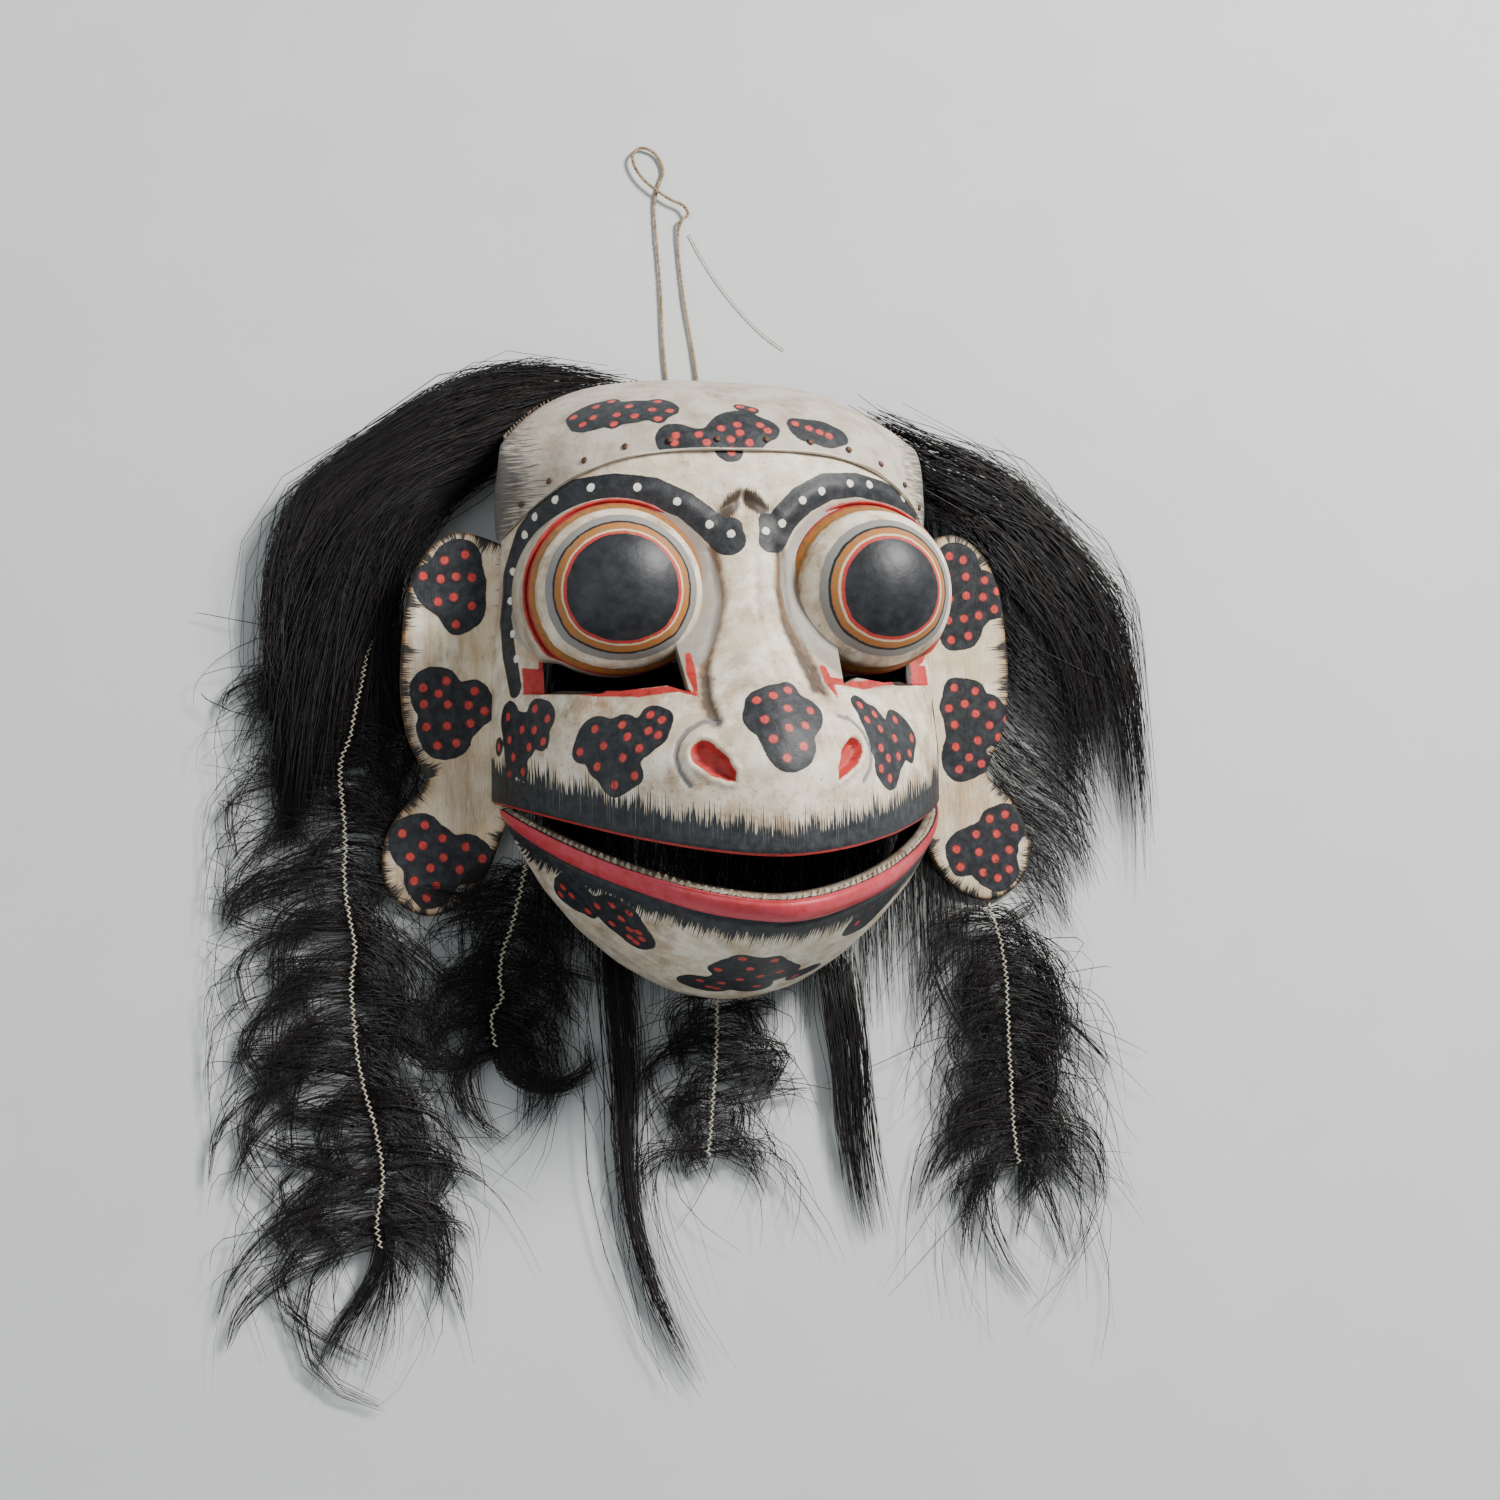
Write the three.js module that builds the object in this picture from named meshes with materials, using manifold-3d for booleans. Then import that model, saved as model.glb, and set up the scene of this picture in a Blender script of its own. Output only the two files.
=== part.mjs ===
// Frog dance mask of painted carved wood, with a hinged lower jaw, a painted
// rawhide crown, flat wooden ears and black horsehair. It lies on its back,
// face up (+Z), the top of the head towards +Y. Sizes are in millimetres.
// Face pieces are built in the face's own frame, where the back edge of the
// carved face is the plane z = 0, and the whole mask is then leaned back.

import * as THREE from 'three';
import { mergeVertices } from 'three/addons/utils/BufferGeometryUtils.js';
import Module from 'manifold-3d';

const wasm = await Module();
wasm.setup();

// Lie of the mask
const lean = 12.6;              // degrees between the back edge and the floor
const touch = 0.3;              // gap between pieces that rest on each other

// Carved face
const cheekHalf = 93;           // half width at the cheeks
const browHalf = 86;            // half width at the brows
const muzzleRise = 112;         // height of the muzzle over the back edge
const foreheadRise = 55;        // height of the forehead over the back edge
const seamY = 118;              // hide seam on the midline
const seamDrop = 30;            // how far the seam falls at the sides
const lipY = -40;               // upper lip on the midline
const lipLift = 19.5;           // how far the lip rises to the mouth corners
const wall = 7;                 // thickness of the carved wood

// Eyes
const eyeX = 50.5;              // eye centre from the midline
const eyeY = 62;
const eyeZ = 51;
const eyeRadius = 35.3;
const eyeRise = 31;             // height of the eyeball over its rim
const eyeTurn = 7;              // degrees each eye looks outwards
const slotWidth = 44;           // peephole under each eye
const slotShift = 3;            // how far each peephole stands outside its eye
const slotBottom = 23.5;        // left peephole, the taller one
const slotTop = 38;
const slotBottomRight = 26;
const slotTopRight = 33;

// Nostrils
const nostrilX = 27.3;
const noseShift = 1.8;          // the carved nose leans this far to one side
const nostrilY = -4;
const nostrilLength = 21;
const nostrilWidth = 10;
const nostrilDepth = 4.5;
const nostrilTurn = 38;         // degrees
const nostrilSlope = 25;        // degrees

// Lower jaw
const hingeY = -20;
const hingeZ = 12;
const jawOpen = 9.3;            // degrees the jaw hangs open
const lipGap = 1.2;             // gap of the closed lips
const jawWall = 6;
const jawCorner = 81;           // degrees round the face where the jaw ends
const chinY = -101;             // lowest line of the chin
const chinZ = 16;
const jawRearInset = 9;         // the jaw's back edge, inside the cheeks
const jawHeel = 13;             // how far the jaw's ends reach below the hinge
const jawHeelZ = 4;
const lipRoll = 15;             // how far the lower lip rolls forward
const chinBelly = 34;           // fullness of the chin

// Rawhide crown
const hide = 1.6;               // thickness of the hide
const overlap = 8;              // wood that runs on under the hide
const crownY = 156;             // back edge of the hide on the midline
const crownZ = -50;
const crownEndY = 124;          // where the back edge meets the sides
const crownEndZ = 3;
const crownRun = 16;            // how far the hide runs on over the forehead
const crownRunSide = 8;         // the same at the sides
const crownDip = 8;
const crownBulge = 36;          // how full the hide stands over its back edge
const crownBulgeSide = 4;
const nailCount = 12;
const nailHead = 1.3;           // radius of a nail head
const nailHeadHeight = 0.7;
const nailShank = 0.5;
const nailLength = 5.5;
const nailInset = 4;            // nails stand this far behind the hide's edge
const ropeRadius = 1.6;         // cord whipped to the back edge

// Ears
const earBoard = 3.5;           // thickness of an ear
const earTuck = 84;             // inner edge, under the back edge of the face
const earTopX = 106;
const earTopY = 89.5;
const earSideX = 128.5;
const earWaistX = 118.6;
const earWaistY = -10;
const earLobeX = 137.5;
const earLobeY = -65;

// Horsehair
const hairReach = 250;          // from the middle of the head to the longest lock's tip

// Hanging cord
const cordRadius = 0.8;
const cordReach = 122;          // from the crown's edge to the end of the loop
const threadRadius = 0.35;

const deg = Math.PI / 180;
const V = (x, y, z) => new THREE.Vector3(x, y, z);

// Smooth curve through stations, without overshoot
function through(stations) {
  const n = stations.length;
  const xs = stations.map((s) => s[0]);
  const ys = stations.map((s) => s[1]);
  const d = [];
  for (let i = 0; i < n - 1; i++) d.push((ys[i + 1] - ys[i]) / (xs[i + 1] - xs[i]));
  const m = [d[0]];
  for (let i = 1; i < n - 1; i++) m.push(d[i - 1] * d[i] > 0 ? 2 * d[i - 1] * d[i] / (d[i - 1] + d[i]) : 0);
  m.push(d[n - 2]);
  return (x) => {
    let i = 0;
    while (i < n - 2 && x > xs[i + 1]) i++;
    const h = xs[i + 1] - xs[i];
    const t = (x - xs[i]) / h;
    if (t < 0) return ys[0] + m[0] * (x - xs[0]);
    if (t > 1) return ys[n - 1] + m[n - 1] * (x - xs[n - 1]);
    const a = (1 + 2 * t) * (1 - t) * (1 - t);
    const b = t * (1 - t) * (1 - t);
    const c = t * t * (3 - 2 * t);
    const e = t * t * (t - 1);
    return a * ys[i] + b * h * m[i] + c * ys[i + 1] + e * h * m[i + 1];
  };
}

// The face's cross-section at each height: half width, rise and fullness
const halfAt = through([[-60, cheekHalf - 3], [-20, cheekHalf], [30, cheekHalf - 1], [60, browHalf + 3.5],
  [90, browHalf + 1.5], [124, browHalf - 1], [150, browHalf - 16]]);
const riseAt = through([[-60, muzzleRise - 4], [-40, muzzleRise], [-10, muzzleRise], [5, muzzleRise - 4],
  [24, muzzleRise - 18], [41, foreheadRise + 23], [62, foreheadRise + 11], [80, foreheadRise + 5],
  [102, foreheadRise + 2], [118, foreheadRise - 2], [130, foreheadRise - 11]]);
const fullAt = through([[-60, 1.75], [0, 1.7], [24, 1.62], [62, 1.75], [100, 2.0], [130, 2.1]]);

const lipAt = (x) => lipY + lipLift * (Math.abs(x) / cheekHalf) ** 1.75;
const seamAt = (x) => seamY - seamDrop * (Math.abs(x) / (browHalf + 1)) ** 3.6;

// Point of the face at angle a round the head and height y, inset into the wood
function facePoint(a, y, inset = 0) {
  const p = 2 / fullAt(y);
  const x = Math.sign(a) * (halfAt(y) - inset) * Math.abs(Math.sin(a)) ** p;
  const z = (riseAt(y) - inset) * Math.max(Math.cos(a), 0) ** p;
  return V(x, y, z);
}

// Angle round the head at which the face has half width x
function angleAt(x, y) {
  return Math.sign(x) * Math.asin((Math.abs(x) / halfAt(y)) ** (fullAt(y) / 2));
}

// Height at which the edge line f(x) is met at angle a
function edgeHeight(a, f) {
  let y = f(0);
  for (let i = 0; i < 12; i++) y = f(facePoint(a, y).x);
  return y;
}

// Closed solid between an outer and an inner sheet of points
function sheetSolid(outer, inner) {
  const rows = outer.length;
  const cols = outer[0].length;
  const pos = [];
  for (const grid of [outer, inner]) for (const row of grid) for (const p of row) pos.push(p.x, p.y, p.z);
  const id = (s, r, c) => s * rows * cols + r * cols + c;
  const tris = [];
  const quad = (a, b, c, d) => tris.push(a, b, c, a, c, d);
  for (let r = 0; r < rows - 1; r++) {
    for (let c = 0; c < cols - 1; c++) {
      quad(id(0, r, c), id(0, r, c + 1), id(0, r + 1, c + 1), id(0, r + 1, c));
      quad(id(1, r, c), id(1, r + 1, c), id(1, r + 1, c + 1), id(1, r, c + 1));
    }
  }
  for (let c = 0; c < cols - 1; c++) {
    quad(id(0, 0, c), id(1, 0, c), id(1, 0, c + 1), id(0, 0, c + 1));
    quad(id(0, rows - 1, c + 1), id(1, rows - 1, c + 1), id(1, rows - 1, c), id(0, rows - 1, c));
  }
  for (let r = 0; r < rows - 1; r++) {
    quad(id(0, r + 1, 0), id(1, r + 1, 0), id(1, r, 0), id(0, r, 0));
    quad(id(0, r, cols - 1), id(1, r, cols - 1), id(1, r + 1, cols - 1), id(0, r + 1, cols - 1));
  }
  return fromTriangles(pos, tris);
}

// Closed solid through rings of points, with flat ends
function loft(rings) {
  const n = rings[0].length;
  const pos = [];
  for (const ring of rings) for (const p of ring) pos.push(p.x, p.y, p.z);
  const tris = [];
  for (let r = 0; r < rings.length - 1; r++) {
    for (let i = 0; i < n; i++) {
      const j = (i + 1) % n;
      const a = r * n + i;
      const b = r * n + j;
      tris.push(a, b, b + n, a, b + n, a + n);
    }
  }
  const last = (rings.length - 1) * n;
  for (let i = 1; i < n - 1; i++) {
    tris.push(0, i + 1, i);
    tris.push(last, last + i, last + i + 1);
  }
  return fromTriangles(pos, tris);
}

// Geometry from points and triangles, turned so that its faces point out
function fromTriangles(pos, tris) {
  let six = 0;
  const p = (i) => V(pos[3 * i], pos[3 * i + 1], pos[3 * i + 2]);
  for (let i = 0; i < tris.length; i += 3) six += p(tris[i]).dot(p(tris[i + 1]).cross(p(tris[i + 2])));
  if (six < 0) {
    for (let i = 0; i < tris.length; i += 3) {
      const keep = tris[i];
      tris[i] = tris[i + 1];
      tris[i + 1] = keep;
    }
  }
  const g = new THREE.BufferGeometry();
  g.setAttribute('position', new THREE.Float32BufferAttribute(pos, 3));
  g.setIndex(tris);
  return g;
}

// Between three.js geometry and a solid that can be cut and joined
function solid(geometry) {
  let g = geometry.clone();
  g.deleteAttribute('normal');
  g.deleteAttribute('uv');
  g = mergeVertices(g, 1e-4);
  return new wasm.Manifold(new wasm.Mesh({
    numProp: 3,
    vertProperties: new Float32Array(g.attributes.position.array),
    triVerts: new Uint32Array(g.index.array),
  }));
}
function geometryOf(body) {
  const m = body.getMesh();
  const g = new THREE.BufferGeometry();
  g.setAttribute('position', new THREE.Float32BufferAttribute(Array.from(m.vertProperties), 3));
  g.setIndex(Array.from(m.triVerts));
  return g;
}

// Sheet of points moved along its own normals
function offset(grid, by) {
  const rows = grid.length;
  const cols = grid[0].length;
  return grid.map((row, r) => row.map((p, c) => {
    const along = V(0, 0, 0).subVectors(row[Math.min(c + 1, cols - 1)], row[Math.max(c - 1, 0)]);
    const up = V(0, 0, 0).subVectors(grid[Math.min(r + 1, rows - 1)][c], grid[Math.max(r - 1, 0)][c]);
    const n = along.cross(up).normalize();
    return p.clone().addScaledVector(n, by);
  }));
}

// Angles round the face, closer together at the sides
function angles(count, limit) {
  const list = [];
  for (let i = 0; i <= count; i++) {
    const u = 2 * i / count - 1;
    list.push(limit * (1.12 * u - 0.12 * u ** 3) * deg);
  }
  return list;
}

// Carved face with its walls, eyeballs, peepholes and nostrils
function faceSheet(inset, top) {
  const rows = [];
  for (let j = 0; j <= 11; j++) {
    rows.push(angles(34, 90).map((a) => {
      const low = edgeHeight(a, lipAt);
      const high = edgeHeight(a, seamAt) + top;
      return facePoint(a, low + (high - low) * j / 11, inset);
    }));
  }
  return rows;
}

function eyeball(side, radius, rise, depth) {
  const profile = [];
  for (let i = 0; i <= 5; i++) {
    const t = i / 5 * 90 * deg;
    profile.push(new THREE.Vector2(i === 5 ? 0 : radius * Math.cos(t), rise * Math.sin(t)));
  }
  profile.unshift(new THREE.Vector2(radius * 0.8, -depth));
  profile.unshift(new THREE.Vector2(0, -depth));
  const g = new THREE.LatheGeometry(profile, 20);
  g.rotateX(90 * deg);
  g.rotateY(side * eyeTurn * deg);
  g.translate(side * eyeX, eyeY, eyeZ);
  return g;
}

function peephole(side) {
  const bottom = side < 0 ? slotBottom : slotBottomRight;
  const top = side < 0 ? slotTop : slotTopRight;
  const g = new THREE.BoxGeometry(slotWidth, top - bottom, muzzleRise);
  g.translate(side * (eyeX + slotShift), (top + bottom) / 2, eyeZ + muzzleRise / 7);
  return g;
}

function nostril(side) {
  const g = new THREE.SphereGeometry(1, 12, 8);
  g.scale(nostrilWidth / 2, nostrilLength / 2, nostrilDepth);
  g.rotateZ(side * nostrilTurn * deg);
  const x = side * nostrilX + noseShift;
  g.rotateY(side * nostrilSlope * deg);
  g.translate(x, nostrilY, facePoint(angleAt(x, nostrilY), nostrilY).z);
  return g;
}

function carvedFace() {
  let body = solid(sheetSolid(faceSheet(0, overlap), faceSheet(wall, overlap)));
  for (const side of [-1, 1]) {
    const hole = solid(peephole(side));
    const lid = solid(eyeball(side, eyeRadius - 3, eyeRise, wall));
    body = body.subtract(hole);
    body = body.add(solid(eyeball(side, eyeRadius, eyeRise, 2)).subtract(hole)).add(lid);
    body = body.subtract(solid(nostril(side)));
  }
  return body;
}

// Lower jaw: its lip follows the upper lip, swung open about the hinge
function swing(p, by) {
  const c = Math.cos(by * deg);
  const s = Math.sin(by * deg);
  const y = p.y - hingeY;
  const z = p.z - hingeZ;
  return V(p.x, hingeY + y * c - z * s, hingeZ + y * s + z * c);
}
function jawLip(u) {
  const a = u * jawCorner * deg;
  const p = facePoint(a, edgeHeight(a, lipAt));
  return swing(V(p.x, p.y - lipGap, p.z), jawOpen);
}
function jawRear(u) {
  const b = u * 90 * deg;
  const c = Math.cos(b);
  const half = cheekHalf - jawRearInset;
  const depth = hingeY - jawHeel - chinY;
  const y = hingeY - jawHeel - depth * c ** 1.1;
  return V(half * Math.sin(b) * (1 - 0.17 * c), y, jawHeelZ + (chinZ - jawHeelZ) * c);
}
function jawPoint(u, v) {
  const c = Math.cos(u * 90 * deg);
  const a = jawLip(u);
  const d = jawRear(u);
  const b = V(a.x * 1.01, a.y - lipRoll * c ** 0.7 - 1, a.z - 6 * c - 1);
  const e = V(d.x * 1.03, d.y + 4 * c - 1, d.z + chinBelly * c + 3);
  const w = 1 - v;
  return V(0, 0, 0).addScaledVector(a, w * w * w).addScaledVector(b, 3 * v * w * w)
    .addScaledVector(e, 3 * v * v * w).addScaledVector(d, v * v * v);
}
function lowerJaw() {
  const rows = [];
  for (let j = 0; j <= 8; j++) {
    rows.push(angles(26, 1 / deg).map((u) => jawPoint(u, j / 8)));
  }
  return sheetSolid(rows, offset(rows, jawWall));
}

// Rawhide crown over the top of the head
function crownRear(a) {
  const q = Math.abs(Math.sin(a));
  const y = crownY - (crownY - crownEndY) * q ** 3;
  return V(browHalf * Math.sin(a), y, crownZ + (crownEndZ - crownZ) * q ** 2.6);
}
function crownPoint(a, v) {
  const c = Math.cos(a);
  const p = facePoint(a, edgeHeight(a, seamAt));
  const s = crownRear(a);
  const b = V(p.x * 1.03, p.y + crownRun * c + crownRunSide, p.z - crownDip * c);
  const e = V(s.x * 1.01, s.y - c, s.z + crownBulge * c + crownBulgeSide);
  const w = 1 - v;
  return V(0, 0, 0).addScaledVector(p, w * w * w).addScaledVector(b, 3 * v * w * w)
    .addScaledVector(e, 3 * v * v * w).addScaledVector(s, v * v * v);
}
function crownSheet(lift) {
  const rows = [];
  for (let j = 0; j <= 6; j++) rows.push(angles(28, 90).map((a) => crownPoint(a, j / 6)));
  return offset(rows, lift);
}

// Nails along the front edge of the hide
function nail(i) {
  const u = 2 * (i + 0.5) / nailCount - 1;
  const a = u * 74 * deg;
  const run = crownPoint(a, 0).distanceTo(crownPoint(a, 0.1));
  const v = 0.1 * nailInset / run;
  const p = crownPoint(a, v);
  const along = crownPoint(a + 0.01, v).sub(crownPoint(a - 0.01, v));
  const up = crownPoint(a, v + 0.02).sub(p);
  const n = along.cross(up).normalize();
  return { place: p, out: n };
}
function nailGeometry(grow, top) {
  const neck = nailShank + grow;
  const g = new THREE.LatheGeometry([
    new THREE.Vector2(0, -nailLength - grow),
    new THREE.Vector2(neck, -nailLength - grow),
    ...top,
  ], 6);
  g.rotateX(90 * deg);
  return g;
}
function placed(g, n) {
  const q = new THREE.Quaternion().setFromUnitVectors(V(0, 0, 1), n.out);
  g.applyQuaternion(q);
  g.translate(n.place.x, n.place.y, n.place.z);
  return g;
}

// Flat ear, drawn as half of a mirrored pair
function ear(side) {
  const outline = [
    [earTuck, earTopY - 6], [earTopX - 8, earTopY - 1], [earTopX, earTopY], [earTopX + 8, earTopY - 4],
    [earSideX - 8, earTopY - 12], [earSideX - 3, earTopY - 24], [earSideX, earTopY - 48],
    [earSideX + 0.5, earWaistY + 34], [earSideX - 2, earWaistY + 17], [earWaistX + 2, earWaistY + 4],
    [earWaistX + 0.5, earWaistY - 2], [earWaistX + 5, earWaistY - 7], [earLobeX - 7, earLobeY + 41],
    [earLobeX - 1.5, earLobeY + 31], [earLobeX, earLobeY + 20], [earLobeX - 2, earLobeY + 11],
    [earLobeX - 8, earLobeY + 4], [earLobeX - 18, earLobeY], [earLobeX - 29, earLobeY + 2.5],
    [earLobeX - 38, earLobeY + 10], [earTuck + 9, earLobeY + 21], [earTuck + 4, earLobeY + 34], [earTuck, earLobeY + 40],
  ];
  const edge = new THREE.CatmullRomCurve3(outline.map(([x, y]) => V(side * x, y, 0)), false, 'centripetal');
  const shape = new THREE.Shape(edge.getPoints(56).map((p) => new THREE.Vector2(p.x, p.y)));
  const g = new THREE.ExtrudeGeometry(shape, { depth: earBoard, bevelEnabled: false });
  g.translate(0, 0, -touch - earBoard);
  return g;
}

// Round cord along a path
function cordSolid(points, radius, steps, sides) {
  const path = new THREE.CatmullRomCurve3(points, false, 'centripetal');
  const ring = [];
  for (let i = 0; i < sides; i++) {
    ring.push(new THREE.Vector2(radius * Math.cos(2 * Math.PI * i / sides), radius * Math.sin(2 * Math.PI * i / sides)));
  }
  return new THREE.ExtrudeGeometry(new THREE.Shape(ring), { extrudePath: path, steps, bevelEnabled: false });
}
function whippedCord() {
  const points = [];
  for (let i = 0; i <= 24; i++) {
    const a = (2 * i / 24 - 1) * 79 * deg;
    const p = crownRear(a);
    const back = p.clone().sub(crownPoint(a, 0.94)).normalize();
    const along = crownRear(a + 0.01).sub(crownRear(a - 0.01));
    const out = along.cross(back).normalize();
    points.push(p.addScaledVector(back, ropeRadius + 3 * touch).addScaledVector(out, touch + hide / 2));
  }
  return cordSolid(points, ropeRadius, 42, 8);
}

// Lock of hair lying on the floor: a flat tapering body along a line, all in
// hundredths of the hair's reach
function lock(line, widths, heights) {
  const h = hairReach / 100;
  const path = new THREE.CatmullRomCurve3(line.map(([x, y]) => V(x * h, y * h, 0)), false, 'centripetal');
  const count = 12;
  const wide = through(widths);
  const high = through(heights);
  const rings = [];
  for (let i = 0; i <= count; i++) {
    const t = i / count;
    const p = path.getPoint(t);
    const d = path.getTangent(t);
    const side = V(-d.y, d.x, 0).normalize();
    const w = wide(t) * h / 2;
    const top = high(t) * h;
    const ring = [];
    for (const [s, k] of [[-1, 0], [-0.93, 0.55], [-0.6, 0.9], [0, 1], [0.6, 0.9], [0.93, 0.55], [1, 0]]) {
      ring.push(V(p.x + side.x * s * w, p.y + side.y * s * w, k * top));
    }
    rings.push(ring);
  }
  return loft(rings);
}

// Materials
const look = (color, roughness, metalness = 0) => new THREE.MeshStandardMaterial({ color, roughness, metalness });
const paintedWood = () => look(0xd8cbb8, 0.5);
const paintedHide = () => look(0xb9aa98, 0.55);
const horsehair = () => look(0x17151a, 0.4);
const rustyIron = () => look(0x6a4a38, 0.6, 0.7);
const twine = () => look(0x6f665c, 0.85);

const mask = new THREE.Group();
const floor = new THREE.Group();
const whole = new THREE.Group();
function add(parent, name, geometry, material) {
  const mesh = new THREE.Mesh(geometry, material);
  mesh.name = name;
  parent.add(mesh);
  return mesh;
}

// Hide, and the wood cut back to run under it
let hideBody = solid(sheetSolid(crownSheet(hide + touch), crownSheet(touch)));
let face = carvedFace().subtract(solid(sheetSolid(crownSheet(12), crownSheet(0))));
const nails = [];
for (let i = 0; i < nailCount; i++) {
  const n = nail(i);
  const bore = solid(placed(nailGeometry(touch, [
    new THREE.Vector2(nailShank + touch, hide + 3),
    new THREE.Vector2(0, hide + 3),
  ]), n));
  hideBody = hideBody.subtract(bore);
  face = face.subtract(bore);
  const seat = hide + 2 * touch;
  nails.push(placed(nailGeometry(0, [
    new THREE.Vector2(nailShank, seat),
    new THREE.Vector2(nailHead, seat),
    new THREE.Vector2(nailHead * 0.7, seat + nailHeadHeight),
    new THREE.Vector2(0, seat + nailHeadHeight),
  ]), n));
}
add(mask, 'face_shell', geometryOf(face), paintedWood());
add(mask, 'lower_jaw', lowerJaw(), paintedWood());
add(mask, 'crown_hide', geometryOf(hideBody), paintedHide());
nails.forEach((g, i) => add(mask, `nail_${String(i + 1).padStart(2, '0')}`, g, rustyIron()));
add(mask, 'ear_left', ear(-1), paintedWood());
add(mask, 'ear_right', ear(1), paintedWood());
add(mask, 'edge_cord', whippedCord(), twine());

mask.rotation.x = lean * deg;
mask.updateMatrixWorld(true);
const low = new THREE.Box3().setFromObject(mask, true).min.z;
mask.position.set(0, 0, -low);

// Horsehair, lying on the floor
const hair = (name, line, widths, heights) => add(floor, name, lock(line, widths, heights), horsehair());
hair('hair_crown_left', [[-4, 69.6], [-23.2, 67.2], [-41.6, 57.6], [-55.2, 41.2], [-60.8, 23.2],
  [-62.8, 3.2]],
  [[0, 3.2], [0.25, 9.6], [0.5, 18.4], [0.75, 23.2], [1, 22.4]],
  [[0, 3.2], [0.3, 9.6], [0.6, 11.2], [0.85, 7.6], [1, 5.2]]);
hair('hair_crown_right', [[4.8, 69.6], [27.2, 66], [46.4, 51.2], [60, 33.6], [65.2, 18], [65.2, 0],
  [66.4, -20]],
  [[0, 3.2], [0.2, 9.6], [0.4, 17.6], [0.6, 21.6], [0.8, 21.6], [1, 20]],
  [[0, 3.2], [0.3, 9.6], [0.6, 10.4], [0.85, 7.2], [1, 4]]);
hair('hair_fall_left', [[-68, 0.8], [-68.8, -16], [-64.8, -33.6], [-62.4, -44.8], [-59.2, -56.8],
  [-58, -70.4], [-59.6, -82.4], [-64, -92.8]],
  [[0, 24], [0.25, 23.2], [0.45, 35.2], [0.6, 36.8], [0.8, 32], [0.92, 14.4], [1, 2.4]],
  [[0, 4.8], [0.5, 4], [1, 1.2]]);
hair('hair_fall_inner_left', [[-26.4, -7.2], [-27.2, -24.8], [-32, -38.4], [-33.6, -48.8], [-28.8, -56]],
  [[0, 6.4], [0.4, 10.4], [0.8, 16], [1, 10.4]],
  [[0, 2], [0.4, 2.8], [1, 2]]);
hair('hair_fall_centre', [[0, -16], [-0.8, -40], [-2.4, -54], [-4.8, -67.2]],
  [[0, 6.4], [0.5, 12], [0.8, 17.6], [1, 4.8]],
  [[0, 2], [1, 1.6]]);
hair('hair_fall_right', [[44.8, -28.8], [48.4, -40], [48.8, -52.8], [50, -66], [53.6, -80], [56.8, -90.4]],
  [[0, 16], [0.3, 26.4], [0.7, 29.6], [1, 5.6]],
  [[0, 3.6], [1, 1.6]]);
hair('hair_tuft_left', [[-18.4, -26.4], [-18, -44], [-17.2, -60], [-16, -72], [-11.6, -87.2], [-8, -100]],
  [[0, 8.8], [0.4, 9.6], [0.6, 6.4], [0.8, 2.8], [1, 1.2]],
  [[0, 3.2], [0.6, 2.8], [1, 0.8]]);
hair('hair_tuft_right', [[19.2, -26.4], [20, -44], [20.8, -60], [22.4, -76], [24, -84.8]],
  [[0, 10.4], [0.4, 12.8], [0.8, 8.8], [1, 2.8]],
  [[0, 3.2], [0.6, 3.2], [1, 1.2]]);

// Cord that hangs the mask: two strands from the crown to a twisted loop
const rest = cordRadius + 2 * touch;
const cross = 3 * cordRadius + 3 * touch;
const hang = [[-6, 1, rest], [-6.5, 16, rest], [-6, 44, rest], [-6, 84, rest], [-3.5, 92, rest], [-1.5, 98, rest],
  [-3.5, 104.5, rest], [-7, 107.5, 1.4 * rest], [-11.5, 108, 1.6 * rest], [-15, 104, cross], [-14.5, 99, cross],
  [-11, 93, cross], [-6, 88.5, cross], [0.5, 84, cross], [6.5, 81, cross], [8, 77, cross], [5.5, 75, cross],
  [3.5, 70, 1.3 * rest], [4, 40, rest], [6.5, 15, rest], [7.5, 1, rest]];
const crownBack = new THREE.Box3().setFromObject(mask.getObjectByName('edge_cord'), true).max.y + touch;
const reach = cordReach / 122;
add(floor, 'hanging_cord', cordSolid(hang.map(([x, y, z]) => V(x, crownBack + y * reach, z)), cordRadius, 62, 8), twine());
const thin = threadRadius + 2 * touch;
const stray = [[8.5, 69, thin], [14, 57, thin], [24.5, 40, thin], [38, 24, thin], [48, 16, thin]];
add(floor, 'hanging_thread', cordSolid(stray.map(([x, y, z]) => V(x, crownBack + y * reach, z)), threadRadius, 18, 8), twine());

whole.add(mask, floor);
const box = new THREE.Box3();
whole.updateMatrixWorld(true);
whole.traverse((o) => {
  if (o.isMesh && !o.name.startsWith('hanging')) box.expandByObject(o, true);
});
whole.position.set(-(box.min.x + box.max.x) / 2, -(box.min.y + box.max.y) / 2, 0);
export default whole;
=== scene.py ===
"""Looks of the frog dance mask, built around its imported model.

The carved pieces are shaped in the face's own frame, in millimetres: x to the
mask's side, y towards the top of the head, z out of the back edge's plane.
"""

import math

import bpy
import numpy as np
from mathutils import Matrix, Vector
from mathutils.bvhtree import BVHTree
from mathutils.geometry import delaunay_2d_cdt


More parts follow.
